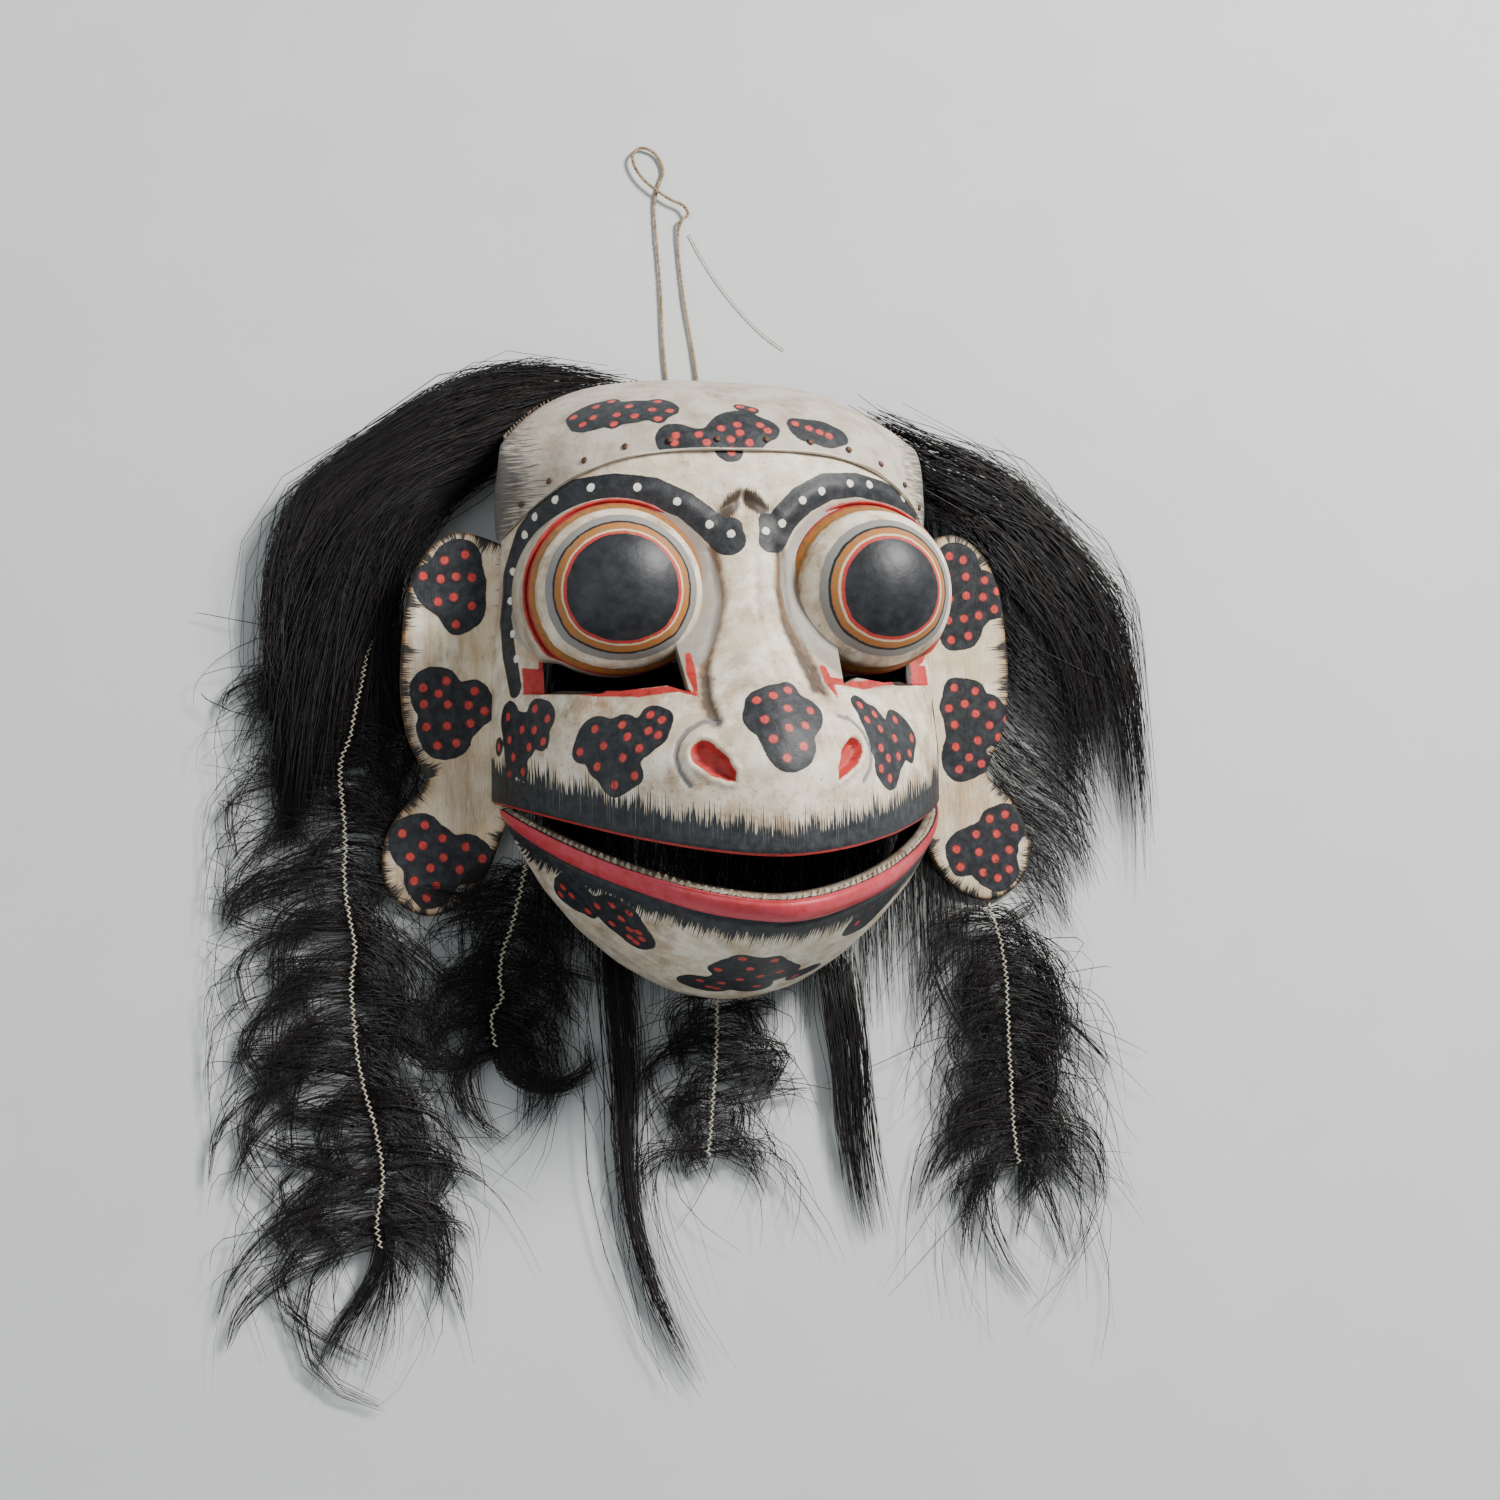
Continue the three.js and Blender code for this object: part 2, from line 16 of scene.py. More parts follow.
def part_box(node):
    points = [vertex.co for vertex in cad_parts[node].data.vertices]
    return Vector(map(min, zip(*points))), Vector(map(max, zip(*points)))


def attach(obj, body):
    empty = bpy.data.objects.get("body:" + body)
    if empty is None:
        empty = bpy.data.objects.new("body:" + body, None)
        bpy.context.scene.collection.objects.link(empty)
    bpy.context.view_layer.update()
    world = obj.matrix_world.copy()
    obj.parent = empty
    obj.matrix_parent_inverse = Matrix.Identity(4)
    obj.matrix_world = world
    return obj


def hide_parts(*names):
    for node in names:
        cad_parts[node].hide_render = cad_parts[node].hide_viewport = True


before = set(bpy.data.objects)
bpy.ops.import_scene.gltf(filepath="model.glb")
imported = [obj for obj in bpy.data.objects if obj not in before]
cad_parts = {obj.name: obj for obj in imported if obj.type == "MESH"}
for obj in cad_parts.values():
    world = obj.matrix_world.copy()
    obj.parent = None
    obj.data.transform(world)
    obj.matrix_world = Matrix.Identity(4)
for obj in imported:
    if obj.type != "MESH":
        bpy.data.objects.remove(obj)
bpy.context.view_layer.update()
chance = np.random.default_rng(7)

# The lie: how far the face's frame leans and is shifted in the part's frame
MM = 0.001
LEAN = 12.6
SHIFT = np.array([5.2742, 35.7317, 18.4950])


def turned(axis, degrees):
    """Rotation about one axis: 0 is x, 1 is y and 2 is z."""
    c, s = math.cos(math.radians(degrees)), math.sin(math.radians(degrees))
    i, j = (axis + 1) % 3, (axis + 2) % 3
    turn = np.eye(3)
    turn[i, i], turn[i, j] = c, -s
    turn[j, i], turn[j, j] = s, c
    return turn


TURN = turned(0, LEAN)


def to_part(points):
    """Face frame to the part's frame, still in millimetres."""
    return np.asarray(points, float) @ TURN.T + SHIFT


def to_face(points):
    """Part's frame to the face frame, in millimetres."""
    return (np.asarray(points, float) - SHIFT) @ TURN


# Camera: the picture's width and focal length in pixels, and where it stands
PICTURE = 1500
FOCAL = 2773.0
SENSOR = 36.0
EYE_POINT = np.array([-265.73, -207.00, 1104.59])
CAMERA_TIP, CAMERA_SWING, CAMERA_ROLL = 13.1927, -13.8818, -4.0231
LOOK = turned(2, CAMERA_ROLL) @ turned(1, CAMERA_SWING) @ turned(0, CAMERA_TIP)
camera_data = bpy.data.cameras.new("camera")
camera_data.sensor_width = SENSOR
camera_data.lens = SENSOR * FOCAL / PICTURE
camera = bpy.data.objects.new("camera", camera_data)
bpy.context.scene.collection.objects.link(camera)
placed = np.eye(4)
placed[:3, :3] = LOOK
placed[:3, 3] = EYE_POINT * MM
camera.matrix_world = Matrix(placed.tolist())
bpy.context.scene.camera = camera


def sight(u, v):
    """Direction of the line of sight through a point of the picture."""
    half = PICTURE / 2
    return LOOK @ np.array([(u - half) / FOCAL, -(v - half) / FOCAL, -1.0])


def lying(u, v, z):
    """Point at height z over the floor that shows at (u, v)."""
    d = sight(u, v)
    return EYE_POINT + (z - EYE_POINT[2]) / d[2] * d


class Skin:
    """A piece's surface in the face frame, on which marks are found."""

    # Distances from the camera at which a line of sight that misses is tried
    TRIED = range(1000, 1260, 4)

    def __init__(self, points, faces):
        self.tree = BVHTree.FromPolygons(points.tolist(), faces.tolist())
        self.eye = Vector(to_face(EYE_POINT))

    def at(self, u, v):
        """Point of the surface that shows at (u, v), or the nearest to that line of sight."""
        d = Vector(TURN.T @ sight(u, v)).normalized()
        hit = self.tree.ray_cast(self.eye, d)[0]
        if hit is None:
            tries = (self.tree.find_nearest(self.eye + d * t) for t in self.TRIED)
            hit = min(tries, key=lambda found: found[3])[0]
        return np.array(hit)

    def marks(self, rows):
        """(u, v, radius) rows as places on the surface and radii."""
        places = np.array([self.at(u, v) for u, v, _ in rows])
        return places, np.array([radius for _, _, radius in rows], float)


# Shapes of the carved pieces
def through(stations):
    """Smooth curve through stations, without overshoot."""
    xs, ys = np.array(stations, float).T
    d = np.diff(ys) / np.diff(xs)
    m = np.concatenate([[d[0]], np.zeros(len(d) - 1), [d[-1]]])
    same = d[:-1] * d[1:] > 0
    both = np.where(same, d[:-1] + d[1:], 1.0)
    m[1:-1] = np.where(same, 2 * d[:-1] * d[1:] / both, 0)

    def curve(x):
        x = np.asarray(x, float)
        i = np.clip(np.searchsorted(xs, x, side="left") - 1, 0, len(d) - 1)
        h = xs[i + 1] - xs[i]
        t = (x - xs[i]) / h
        y = (
            (1 + 2 * t) * (1 - t) ** 2 * ys[i]
            + t * (1 - t) ** 2 * h * m[i]
            + t * t * (3 - 2 * t) * ys[i + 1]
            + t * t * (t - 1) * h * m[i + 1]
        )
        y = np.where(t < 0, ys[0] + m[0] * (x - xs[0]), y)
        return np.where(t > 1, ys[-1] + m[-1] * (x - xs[-1]), y)

    return curve


CHEEK_HALF, BROW_HALF, WALL = 93, 86, 7
LIP_Y, LIP_LIFT, LIP_CURVE = -40, 19.5, 1.75
SEAM_Y, SEAM_DROP, SEAM_CURVE = 118, 30, 3.6
# At each height y: half the face's width, how far it stands out, and how square it is
half_at = through([(-60, 90), (-20, 93), (30, 92), (60, 89.5), (90, 87.5), (124, 85), (150, 70)])
rise_at = through([
    (-60, 108), (-40, 112), (-10, 112), (5, 108), (24, 94), (41, 78),
    (62, 66), (80, 60), (102, 57), (118, 53), (130, 44),
])
full_at = through([(-60, 1.75), (0, 1.7), (24, 1.62), (62, 1.75), (100, 2.0), (130, 2.1)])


def lip_at(x):
    """Height of the upper lip's edge."""
    return LIP_Y + LIP_LIFT * (np.abs(x) / CHEEK_HALF) ** LIP_CURVE


def seam_at(x):
    """Height of the hide's front edge on the forehead."""
    return SEAM_Y - SEAM_DROP * (np.abs(x) / (BROW_HALF + 1)) ** SEAM_CURVE


def face_point(a, y, inset=0.0):
    """Point of the face's plain form at height y, a radians round from its middle."""
    p = 2 / full_at(y)
    x = np.sign(a) * (half_at(y) - inset) * np.abs(np.sin(a)) ** p
    z = (rise_at(y) - inset) * np.maximum(np.cos(a), 0) ** p
    return np.stack([x, y + 0 * x, z], -1)


def edge_height(a, line):
    """Height at which each angle meets a line given as a height for each x."""
    y = line(np.zeros_like(a))
    for _ in range(12):
        y = line(face_point(a, y)[..., 0])
    return y


def spread(count):
    """Places from -1 to 1, a little closer together at the ends."""
    u = 2 * np.arange(count + 1) / count - 1
    return 1.12 * u - 0.12 * u ** 3


def normals(grid):
    """Outward normals of a grid of points, rows upwards and columns across."""
    along = np.gradient(grid, axis=1)
    up = np.gradient(grid, axis=0)
    n = np.cross(along, up)
    return n / np.maximum(np.linalg.norm(n, axis=-1, keepdims=True), 1e-9)


def grid_quads(rows, cols, start=0, flip=False, closed=False):
    """Quads of a grid of points, closed across if it goes all the way round."""
    r, c = np.meshgrid(np.arange(rows - 1), np.arange(cols if closed else cols - 1), indexing="ij")
    a = start + r * cols + c
    b = start + r * cols + (c + 1) % cols
    quads = np.stack([a, b, b + cols, a + cols], -1).reshape(-1, 4)
    return quads[:, ::-1] if flip else quads


def rim(fine, coarse):
    """Triangles between two edges that run side by side, the first finer."""
    step = (len(fine) - 1) // (len(coarse) - 1)
    tris = []
    for i in range(len(coarse) - 1):
        for j in range(step):
            near = coarse[i] if j < step / 2 else coarse[i + 1]
            tris.append((fine[i * step + j], fine[i * step + j + 1], near))
        middle = fine[i * step + (step + 1) // 2]
        tris.append((middle, coarse[i + 1], coarse[i]))
    return np.array(tris)


def shell(outer, inner):
    """Closed wall between a fine outer sheet and a coarser inner one."""
    (r1, c1), (r2, c2) = outer.shape[:2], inner.shape[:2]
    n = r1 * c1
    ids1 = np.arange(n).reshape(r1, c1)
    ids2 = n + np.arange(r2 * c2).reshape(r2, c2)
    points = np.concatenate([outer.reshape(-1, 3), inner.reshape(-1, 3)])
    tris = [
        tri(grid_quads(r1, c1)),
        tri(grid_quads(r2, c2, n, flip=True)),
        rim(ids1[0], ids2[0])[:, ::-1],
        rim(ids1[-1], ids2[-1]),
        rim(ids1[:, 0], ids2[:, 0]),
        rim(ids1[:, -1], ids2[:, -1])[:, ::-1],
    ]
    return points, np.concatenate(tris)


def tri(quads):
    """Each quad as two triangles."""
    return np.concatenate([quads[:, [0, 1, 2]], quads[:, [0, 2, 3]]])


def fans(first, last, sides, centre):
    """Triangles that close both ends of a ringed mesh, onto points centre and centre + 1."""
    k = np.arange(sides)
    after = (k + 1) % sides
    return np.concatenate([
        np.stack([np.full(sides, centre), first + after, first + k], -1),
        np.stack([np.full(sides, centre + 1), last + k, last + after], -1),
    ])


def mesh_piece(name, points, faces, smooth=True, in_face=True):
    """Object of a mesh given in millimetres, in the face frame or the part's."""
    me = bpy.data.meshes.new(name)
    placed = to_part(points) if in_face else np.asarray(points, float)
    groups = faces if isinstance(faces, list) else [faces]
    loops = np.concatenate([g.ravel() for g in groups])
    sizes = np.concatenate([np.full(len(g), g.shape[1]) for g in groups])
    starts = np.concatenate([[0], np.cumsum(sizes)[:-1]])
    me.vertices.add(len(placed))
    me.vertices.foreach_set("co", (placed * MM).astype(np.float32).ravel())
    me.loops.add(len(loops))
    me.loops.foreach_set("vertex_index", loops.astype(np.int32))
    me.polygons.add(len(sizes))
    me.polygons.foreach_set("loop_start", starts.astype(np.int32))
    me.polygons.foreach_set("loop_total", sizes.astype(np.int32))
    me.update(calc_edges=True)
    me.validate()
    me.polygons.foreach_set("use_smooth", np.full(len(me.polygons), smooth))
    ob = bpy.data.objects.new(name, me)
    bpy.context.scene.collection.objects.link(ob)
    return ob


def points_of(ob):
    """Vertices of a piece in the face frame."""
    co = np.zeros(len(ob.data.vertices) * 3, np.float32)
    ob.data.vertices.foreach_get("co", co)
    return to_face(co.reshape(-1, 3).astype(float) / MM)


def triangles_of(ob):
    """Vertex numbers of a piece's triangles."""
    ob.data.calc_loop_triangles()
    t = np.zeros(len(ob.data.loop_triangles) * 3, np.int32)
    ob.data.loop_triangles.foreach_get("vertices", t)
    return t.reshape(-1, 3)


def cut(ob, *tools):
    """Cuts other objects out of ob and removes them."""
    for tool in tools:
        m = ob.modifiers.new("cut", "BOOLEAN")
        m.operation = "DIFFERENCE"
        m.solver = "MANIFOLD"
        m.object = tool
        done = bpy.data.meshes.new_from_object(ob.evaluated_get(bpy.context.evaluated_depsgraph_get()))
        ob.modifiers.clear()
        ob.data = done
        bpy.data.objects.remove(tool)
    ob.data.polygons.foreach_set("use_smooth", np.full(len(ob.data.polygons), True))


def note(ob, **fields):
    """Writes fields, one number for each vertex, for the paint."""
    for name, values in fields.items():
        a = ob.data.attributes.new(name, "FLOAT", "POINT")
        a.data.foreach_set("value", np.asarray(values, np.float32))


FAR = 1e3


def near(points, centres, radii):
    """Distance to the nearest of several balls, less than 0 inside one."""
    best = np.full(len(points), FAR)
    for c, r in zip(centres, radii):
        best = np.minimum(best, np.linalg.norm(points - c, axis=1) - r)
    return best


def merged(points, centres, radii, blend):
    """Distance to several balls that run together, less than 0 inside them."""
    total = np.zeros(len(points))
    for c, r in zip(centres, radii):
        total += np.exp(-np.minimum(np.linalg.norm(points - c, axis=1) - r, 60) / blend)
    return -blend * np.log(total + 1e-30)


def stroke(points, line, widths):
    """Distance to a painted stroke, whose half width changes along its line."""
    best = np.full(len(points), FAR)
    widths = np.broadcast_to(widths, len(line))
    for a, b, ra, rb in zip(line[:-1], line[1:], widths[:-1], widths[1:]):
        ab = b - a
        t = np.clip((points - a) @ ab / max(ab @ ab, 1e-9), 0, 1)
        gap = np.linalg.norm(points - a - t[:, None] * ab, axis=1)
        best = np.minimum(best, gap - ra - t * (rb - ra))
    return best


def strokes(points, marks):
    """Distance to the nearest of several strokes, given as (line, half widths)."""
    return np.minimum.reduce([stroke(points, line, widths) for line, widths in marks])


def smooth(lo, hi, x):
    """0 at lo and 1 at hi, easing in and out."""
    t = np.clip((x - lo) / (hi - lo), 0, 1)
    return t * t * (3 - 2 * t)


def bezier(a, b, e, d, v):
    """Curve from a to d, drawn towards b and e."""
    w = 1 - v
    return w ** 3 * a + 3 * v * w * w * b + 3 * v * v * w * e + v ** 3 * d


# Cords
def walked(path):
    """Distance walked along a path at each of its points."""
    return np.concatenate([[0], np.cumsum(np.linalg.norm(np.diff(path, axis=0), axis=1))])


def along(at, run, path):
    """Points of a path at the distances at."""
    return np.stack([np.interp(at, run, path[:, k]) for k in range(3)], -1)


def passed(q, t, s, gap):
    """Points at s between each two neighbours in q, which are known at t and gap places on."""
    out = []
    for j in range(len(q) - 1):
        span = t[j + gap] - t[j]
        out.append((t[j + gap] - s) / span * q[j] + (s - t[j]) / span * q[j + 1])
    return out


def smooth_path(points, steps):
    """Centripetal curve through the points of a cord's route."""
    p = np.asarray(points, float)
    full = np.concatenate([[2 * p[0] - p[1]], p, [2 * p[-1] - p[-2]]])
    out = []
    for i in range(len(p) - 1):
        q = full[i : i + 4]
        t = np.concatenate([[0], np.cumsum(np.linalg.norm(np.diff(q, axis=0), axis=1) ** 0.5)])
        for s in np.linspace(t[1], t[2], steps, endpoint=False):
            pair = passed(passed(q, t, s, 1), t, s, 2)
            out += passed(pair, t[1:], s, 1)
    out.append(p[-1])
    return np.array(out)


def directions(path):
    """Sideways and upward directions across a path."""
    t = np.gradient(path, axis=0)
    t /= np.maximum(np.linalg.norm(t, axis=1, keepdims=True), 1e-9)
    side = np.cross(t, np.tile([0.0, 0.0, 1.0], (len(path), 1)))
    side /= np.maximum(np.linalg.norm(side, axis=1, keepdims=True), 1e-9)
    return side, np.cross(side, t)


def tube(path, radius, sides=8):
    """Round tube along a path."""
    side, up = directions(path)
    a = 2 * np.pi * np.arange(sides) / sides
    ring = radius * (np.cos(a)[None, :, None] * side[:, None] + np.sin(a)[None, :, None] * up[:, None])
    points = (path[:, None] + ring).reshape(-1, 3)
    n = len(points)
    points = np.concatenate([points, path[:1], path[-1:]])
    return points, [grid_quads(len(path), sides, closed=True), fans(0, n - sides, sides, n)]


def wound(line, side, up, radius, turn, reach, sides=5):
    """Strand wound round a line whose own directions are given."""
    path = line + reach * (np.cos(turn)[:, None] * side + np.sin(turn)[:, None] * up)
    return tube(path, radius, sides)


def joined(parts):
    """Several meshes as one: (points, faces) with faces a list of arrays."""
    points, quads, tris, start = [], [], [], 0
    for p, groups in parts:
        points.append(p)
        for g in groups:
            (quads if g.shape[1] == 4 else tris).append(g + start)
        start += len(p)
    return np.concatenate(points), [np.concatenate(k) for k in (quads, tris) if k]


PLY_SHARE = 0.54


def plied(path, radius, ply, lay):
    """Twine of several plies laid round each other."""
    side, up = directions(path)
    turn = 2 * np.pi * walked(path) / lay
    each = radius * PLY_SHARE
    return joined([
        wound(path, side, up, each, 2 * np.pi * k / ply + turn, radius - each, 6) for k in range(ply)
    ])


CORD_RADIUS, THREAD_RADIUS, TOUCH = 0.8, 0.35, 0.3
CORD_START_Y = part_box("edge_cord")[1].y / MM + TOUCH
rest = CORD_RADIUS + 2 * TOUCH
cross = 3 * CORD_RADIUS + 3 * TOUCH
hang = [
    (-6, 1, rest), (-6.5, 16, rest), (-6, 44, rest), (-6, 84, rest), (-3.5, 92, rest), (-1.5, 98, rest),
    (-3.5, 104.5, rest), (-7, 107.5, 1.4 * rest), (-11.5, 108, 1.6 * rest), (-15, 104, cross),
    (-14.5, 99, cross), (-11, 93, cross), (-6, 88.5, cross), (0.5, 84, cross), (6.5, 81, cross),
    (8, 77, cross), (5.5, 75, cross), (3.5, 70, 1.3 * rest), (4, 40, rest), (6.5, 15, rest), (7.5, 1, rest),
]
thin = THREAD_RADIUS + 2 * TOUCH
stray = [(8.5, 69, thin), (14, 57, thin), (24.5, 40, thin), (38, 24, thin), (48, 16, thin)]


def cord_piece(name, node, route, radius, ply, lay):
    """Twine along a route whose points are given from where the cord comes out."""
    path = smooth_path([(SHIFT[0] + x, CORD_START_Y + y, z) for x, y, z in route], 14)
    points, faces = plied(path, radius, ply, lay)
    ob = mesh_piece(name, points, faces, in_face=False)
    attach(ob, "mask")
    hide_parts(node)
    return ob


cord = cord_piece("loop_of_twine", "hanging_cord", hang, CORD_RADIUS, 3, 5.5)
thread = cord_piece("stray_thread", "hanging_thread", stray, THREAD_RADIUS, 2, 3.0)

# Carved face
EYE_X, EYE_Y, EYE_Z, EYE_R, EYE_RISE = 50.5, 62, 51, 35.3, 31
EYE_TURN, DOME_R = math.radians(7), 32.0
FACE_COLS, FACE_ROWS, LIP_BEVEL, UNDER_HIDE = 320, 192, 5, 3.5
PLAIN_COLS, PLAIN_ROWS, COARSE = 160, 96, 8
BRIDGE, BRIDGE_HALF, NOTCH_DEPTH, BROW_RISE, BROW_SOFT = 3.2, 13.5, 1.7, 1.5, 4.2
NOSTRIL_DEPTH, NOSTRIL_RIM, WING_DEPTH, JAMB_DEPTH = 3.6, 0.7, 1.0, 9
SUNK, LIP_ROUND = 1.2, 1.1


def face_grid(cols, rows, inset, top, bevel=0.0):
    """Grid of the face's plain form, from bevel over the lip to top past the hide's edge."""
    a = np.radians(90) * spread(cols)
    low, high = edge_height(a, lip_at) + bevel, edge_height(a, seam_at) + top
    v = np.linspace(0, 1, rows + 1)[:, None]
    return face_point(np.tile(a, (rows + 1, 1)), low + (high - low) * v, inset)


def carving(p):
    """Height of the carver's relief over the face's plain form, at points p."""
    x, y = p[..., 0], p[..., 1]

    def away(line, widths=0.0):
        return stroke(p.reshape(-1, 3), line, widths).reshape(x.shape)

    # bridge of the nose, between two creases
    h = BRIDGE * np.exp(-(np.abs(x) / BRIDGE_HALF) ** 3) * smooth(8, 40, y) * (1 - smooth(84, 100, y))
    for line, depth, wide in nose_creases:
        h -= depth * np.exp(-(away(line) / wide) ** 2)
    # forehead notch
    for s in (-1, 1):
        side = (x - NOTCH[0]) * s
        into = smooth(-1.5, 1.5, NOTCH[1] - 0.62 * side - y) * smooth(0, 5, side + 5)
        h -= NOTCH_DEPTH * into * (1 - smooth(1, 17, NOTCH[1] - y)) * (1 - smooth(9, 17, side))
    # brow ridges
    for line, _ in brow_marks:
        h += BROW_RISE * np.exp(-(away(line[2:-1]) / BROW_SOFT) ** 2)
    # nostrils and their wings
    for line, width in nostril_marks:
        d = away(line, width)
        h -= NOSTRIL_DEPTH * smooth(0.3, -2.6, d)
        h += NOSTRIL_RIM * np.exp(-((d - 1.0) / 1.2) ** 2)
    for line in wing_lines:
        h -= WING_DEPTH * np.exp(-away(line) ** 2)
    # worn, hand-cut surface
    h += 0.22 * np.sin(x / 5.3 + 1.7 * np.sin(y / 11)) * np.sin(y / 6.1 + np.sin(x / 9))
    h += 0.5 * np.sin(x / 17 + 2) * np.sin(y / 21 + 1)
    # the wood runs on under the hide
    h -= SUNK * smooth(-1.0, 1.5, y - seam_at(x))
    # rounded lower edge of the upper lip
    h -= LIP_ROUND * (1 - smooth(0, 2.2, y - lip_at(x))) ** 2
    # walls sloping in to the peepholes
    for side, ledge in JAMB_LEDGES.items():
        out = side * x
        deep = smooth(JAMB_FAR + 5.5, JAMB_FAR - 4.5, out) * smooth(JAMB_NEAR - 2, JAMB_NEAR + 2, out)
        up = smooth(ledge - 1.2, ledge + 0.8, y) * smooth(JAMB_TOP + 5, JAMB_TOP, y)
        h -= JAMB_DEPTH * deep * up
    return h


plain_skin = Skin(
    face_grid(PLAIN_COLS, PLAIN_ROWS, 0, 0).reshape(-1, 3), grid_quads(PLAIN_ROWS + 1, PLAIN_COLS + 1),
)
NOTCH = plain_skin.at(744, 492)


def lines_on(skin, *lines):
    """Lines of picture points as lines on a surface."""
    return [np.array([skin.at(u, v) for u, v in line]) for line in lines]


crease_left, crease_right, soft_line, inner_right = lines_on(
    plain_skin,
    [(711, 551), (720, 601), (712, 636), (704, 663), (707, 700), (716, 722)],
    [(780, 551), (781, 583), (787, 619), (801, 645), (823, 690)],
    [(753, 560), (757, 619), (766, 654), (778, 683)],
    [(781, 556), (779, 590), (784, 625), (797, 655), (815, 690)],
)
nose_creases = [(crease_left, 1.3, 2.2), (crease_right, 1.3, 2.2), (soft_line, 0.5, 1.6)]
brow_marks = [
    plain_skin.marks([
        (515, 688, 4.2), (509, 655, 4.8), (506, 620, 4.8), (509, 578, 4.6), (523, 537, 4.8), (545, 511, 5.2),
        (575, 493, 5.4), (612, 487, 5.5), (652, 491, 5.6), (685, 505, 5.4), (709, 524, 5.8), (728, 541, 6.6),
    ]),
    plain_skin.marks([
        (933, 672, 1.9), (937, 640, 2.4), (940, 612, 2.6), (938, 575, 3.0), (928, 540, 3.8), (912, 514, 4.2),
        (885, 494, 4.6), (856, 485, 5.0), (826, 487, 5.6), (802, 500, 5.8), (784, 518, 5.6), (773, 540, 5.6),
    ]),
]
brow_drops = [
    plain_skin.marks([(731, 528, 4.2), (731, 545, 4.6)]),
    plain_skin.marks([(766, 522, 3.6), (768, 543, 4.8)]),
]
nostril_marks = [
    plain_skin.marks([(703, 753, 5.2), (718, 765, 5.0), (729, 774, 3.0), (736, 782, 0.3)]),
    plain_skin.marks([(856, 747, 4.4), (850, 757, 4.6), (843, 770, 2.6), (839, 781, 0.3)]),
]
wing_lines = lines_on(
    plain_skin,
    [(717, 722), (702, 722), (687, 731), (678, 743), (675, 756), (679, 771), (690, 786)],
    [(839, 715), (850, 718), (864, 731), (873, 750), (872, 768), (865, 781)],
)
# Where the jambs beside the peepholes end, and the height of each one's ledge
JAMB_NEAR, JAMB_FAR, JAMB_TOP = 60, 80.5, 38
JAMB_LEDGES = {-1: 24.0, 1: 26.2}
SIDE_NAMES = {-1: "left", 1: "right"}


def rim_radius(phi, flat_y, flat_r):
    """Outline of an eyeball seen from the front: round, cut flatter below."""
    s = np.sin(phi)
    k = flat_r - (EYE_Y - flat_y)
    flat = s * k + np.sqrt((s * k) ** 2 + flat_r ** 2 - k ** 2)
    return np.where(s < 0, np.minimum(EYE_R, flat), EYE_R)


# For each eye: its flatter lower edge, its painted rings, and its peephole's ledge and two sides
EYES = {
    -1: dict(
        flat_y=29.7, flat_r=43.5, rings=(21.5, 22.7, 23.4, 25.9, 26.7, 29.3, 32.5, 34.7),
        slot=(23.8, 31.5, 75.5),
    ),
    1: dict(
        flat_y=29.3, flat_r=40.0, rings=(20.0, 21.3, 22.1, 24.4, 25.3, 28.0, 32.3, 34.6),
        slot=(26.3, 33.5, 72.0),
    ),
}
RIM_STEPS = 180
# How far outside the rim, and how high over it, the raised bead and the collar behind it run
BEAD = [(0.25, -0.9), (0.5, 0.1), (0.95, 0.75), (1.5, 0.8), (1.95, 0.2), (2.1, -1.0)]
COLLAR = [(2.3, -3), (2.6, -6), (3.0, -10), (3.6, -15), (4.4, -20), (4.8, -28)]
SLOT_TOP, SLOT_BACK, SLOT_FRONT = 42, -20, 130


def eye_place(side, x, y, z):
    """Point given in an eye's own frame, centred on its rim."""
    t = side * EYE_TURN
    return np.stack([
        side * EYE_X + x * math.cos(t) + z * math.sin(t),
        EYE_Y + y,
        EYE_Z - x * math.sin(t) + z * math.cos(t),
    ], -1)


def eyeball(side):
    """Dome with its raised rim and the collar that joins it to the face, and each point's reach."""
    phi = 2 * np.pi * np.arange(RIM_STEPS) / RIM_STEPS
    edge = rim_radius(phi, EYES[side]["flat_y"], EYES[side]["flat_r"])
    open_below = smooth(0.62, 0.80, -np.sin(phi))
    rows = []
    for t in [*np.linspace(90, 26, 34)[1:], *np.linspace(25.2, 0, 14)]:
        r = math.cos(math.radians(t))
        step = 1 - 0.42 * float(smooth(DOME_R - 0.3, DOME_R + 0.7, r * EYE_R))
        rows.append((r * edge, EYE_RISE * math.sin(math.radians(t)) * step, r * EYE_R))
    for out, up in BEAD:
        height = up * (1 - open_below) - 0.5 * out * open_below
        rows.append((edge + out * (1 - open_below), height, EYE_R + out))
    for out, up in COLLAR:
        rows.append((edge + out * (1 - open_below), up, EYE_R + out))
    grid = np.array([eye_place(side, r * np.cos(phi), r * np.sin(phi), z) for r, z, _ in rows])
    ends = [eye_place(side, 0, 0, EYE_RISE), eye_place(side, 0, 0, COLLAR[-1][1])]
    points = np.concatenate([grid.reshape(-1, 3), ends])
    n = len(rows) * RIM_STEPS
    quads = grid_quads(len(rows), RIM_STEPS, closed=True)[:, ::-1]
    caps = fans(0, n - RIM_STEPS, RIM_STEPS, n)[:, ::-1]
    reach = np.repeat([q for _, _, q in rows], RIM_STEPS)
    return points, [quads, caps], np.concatenate([reach, [0, EYE_R + 5]])


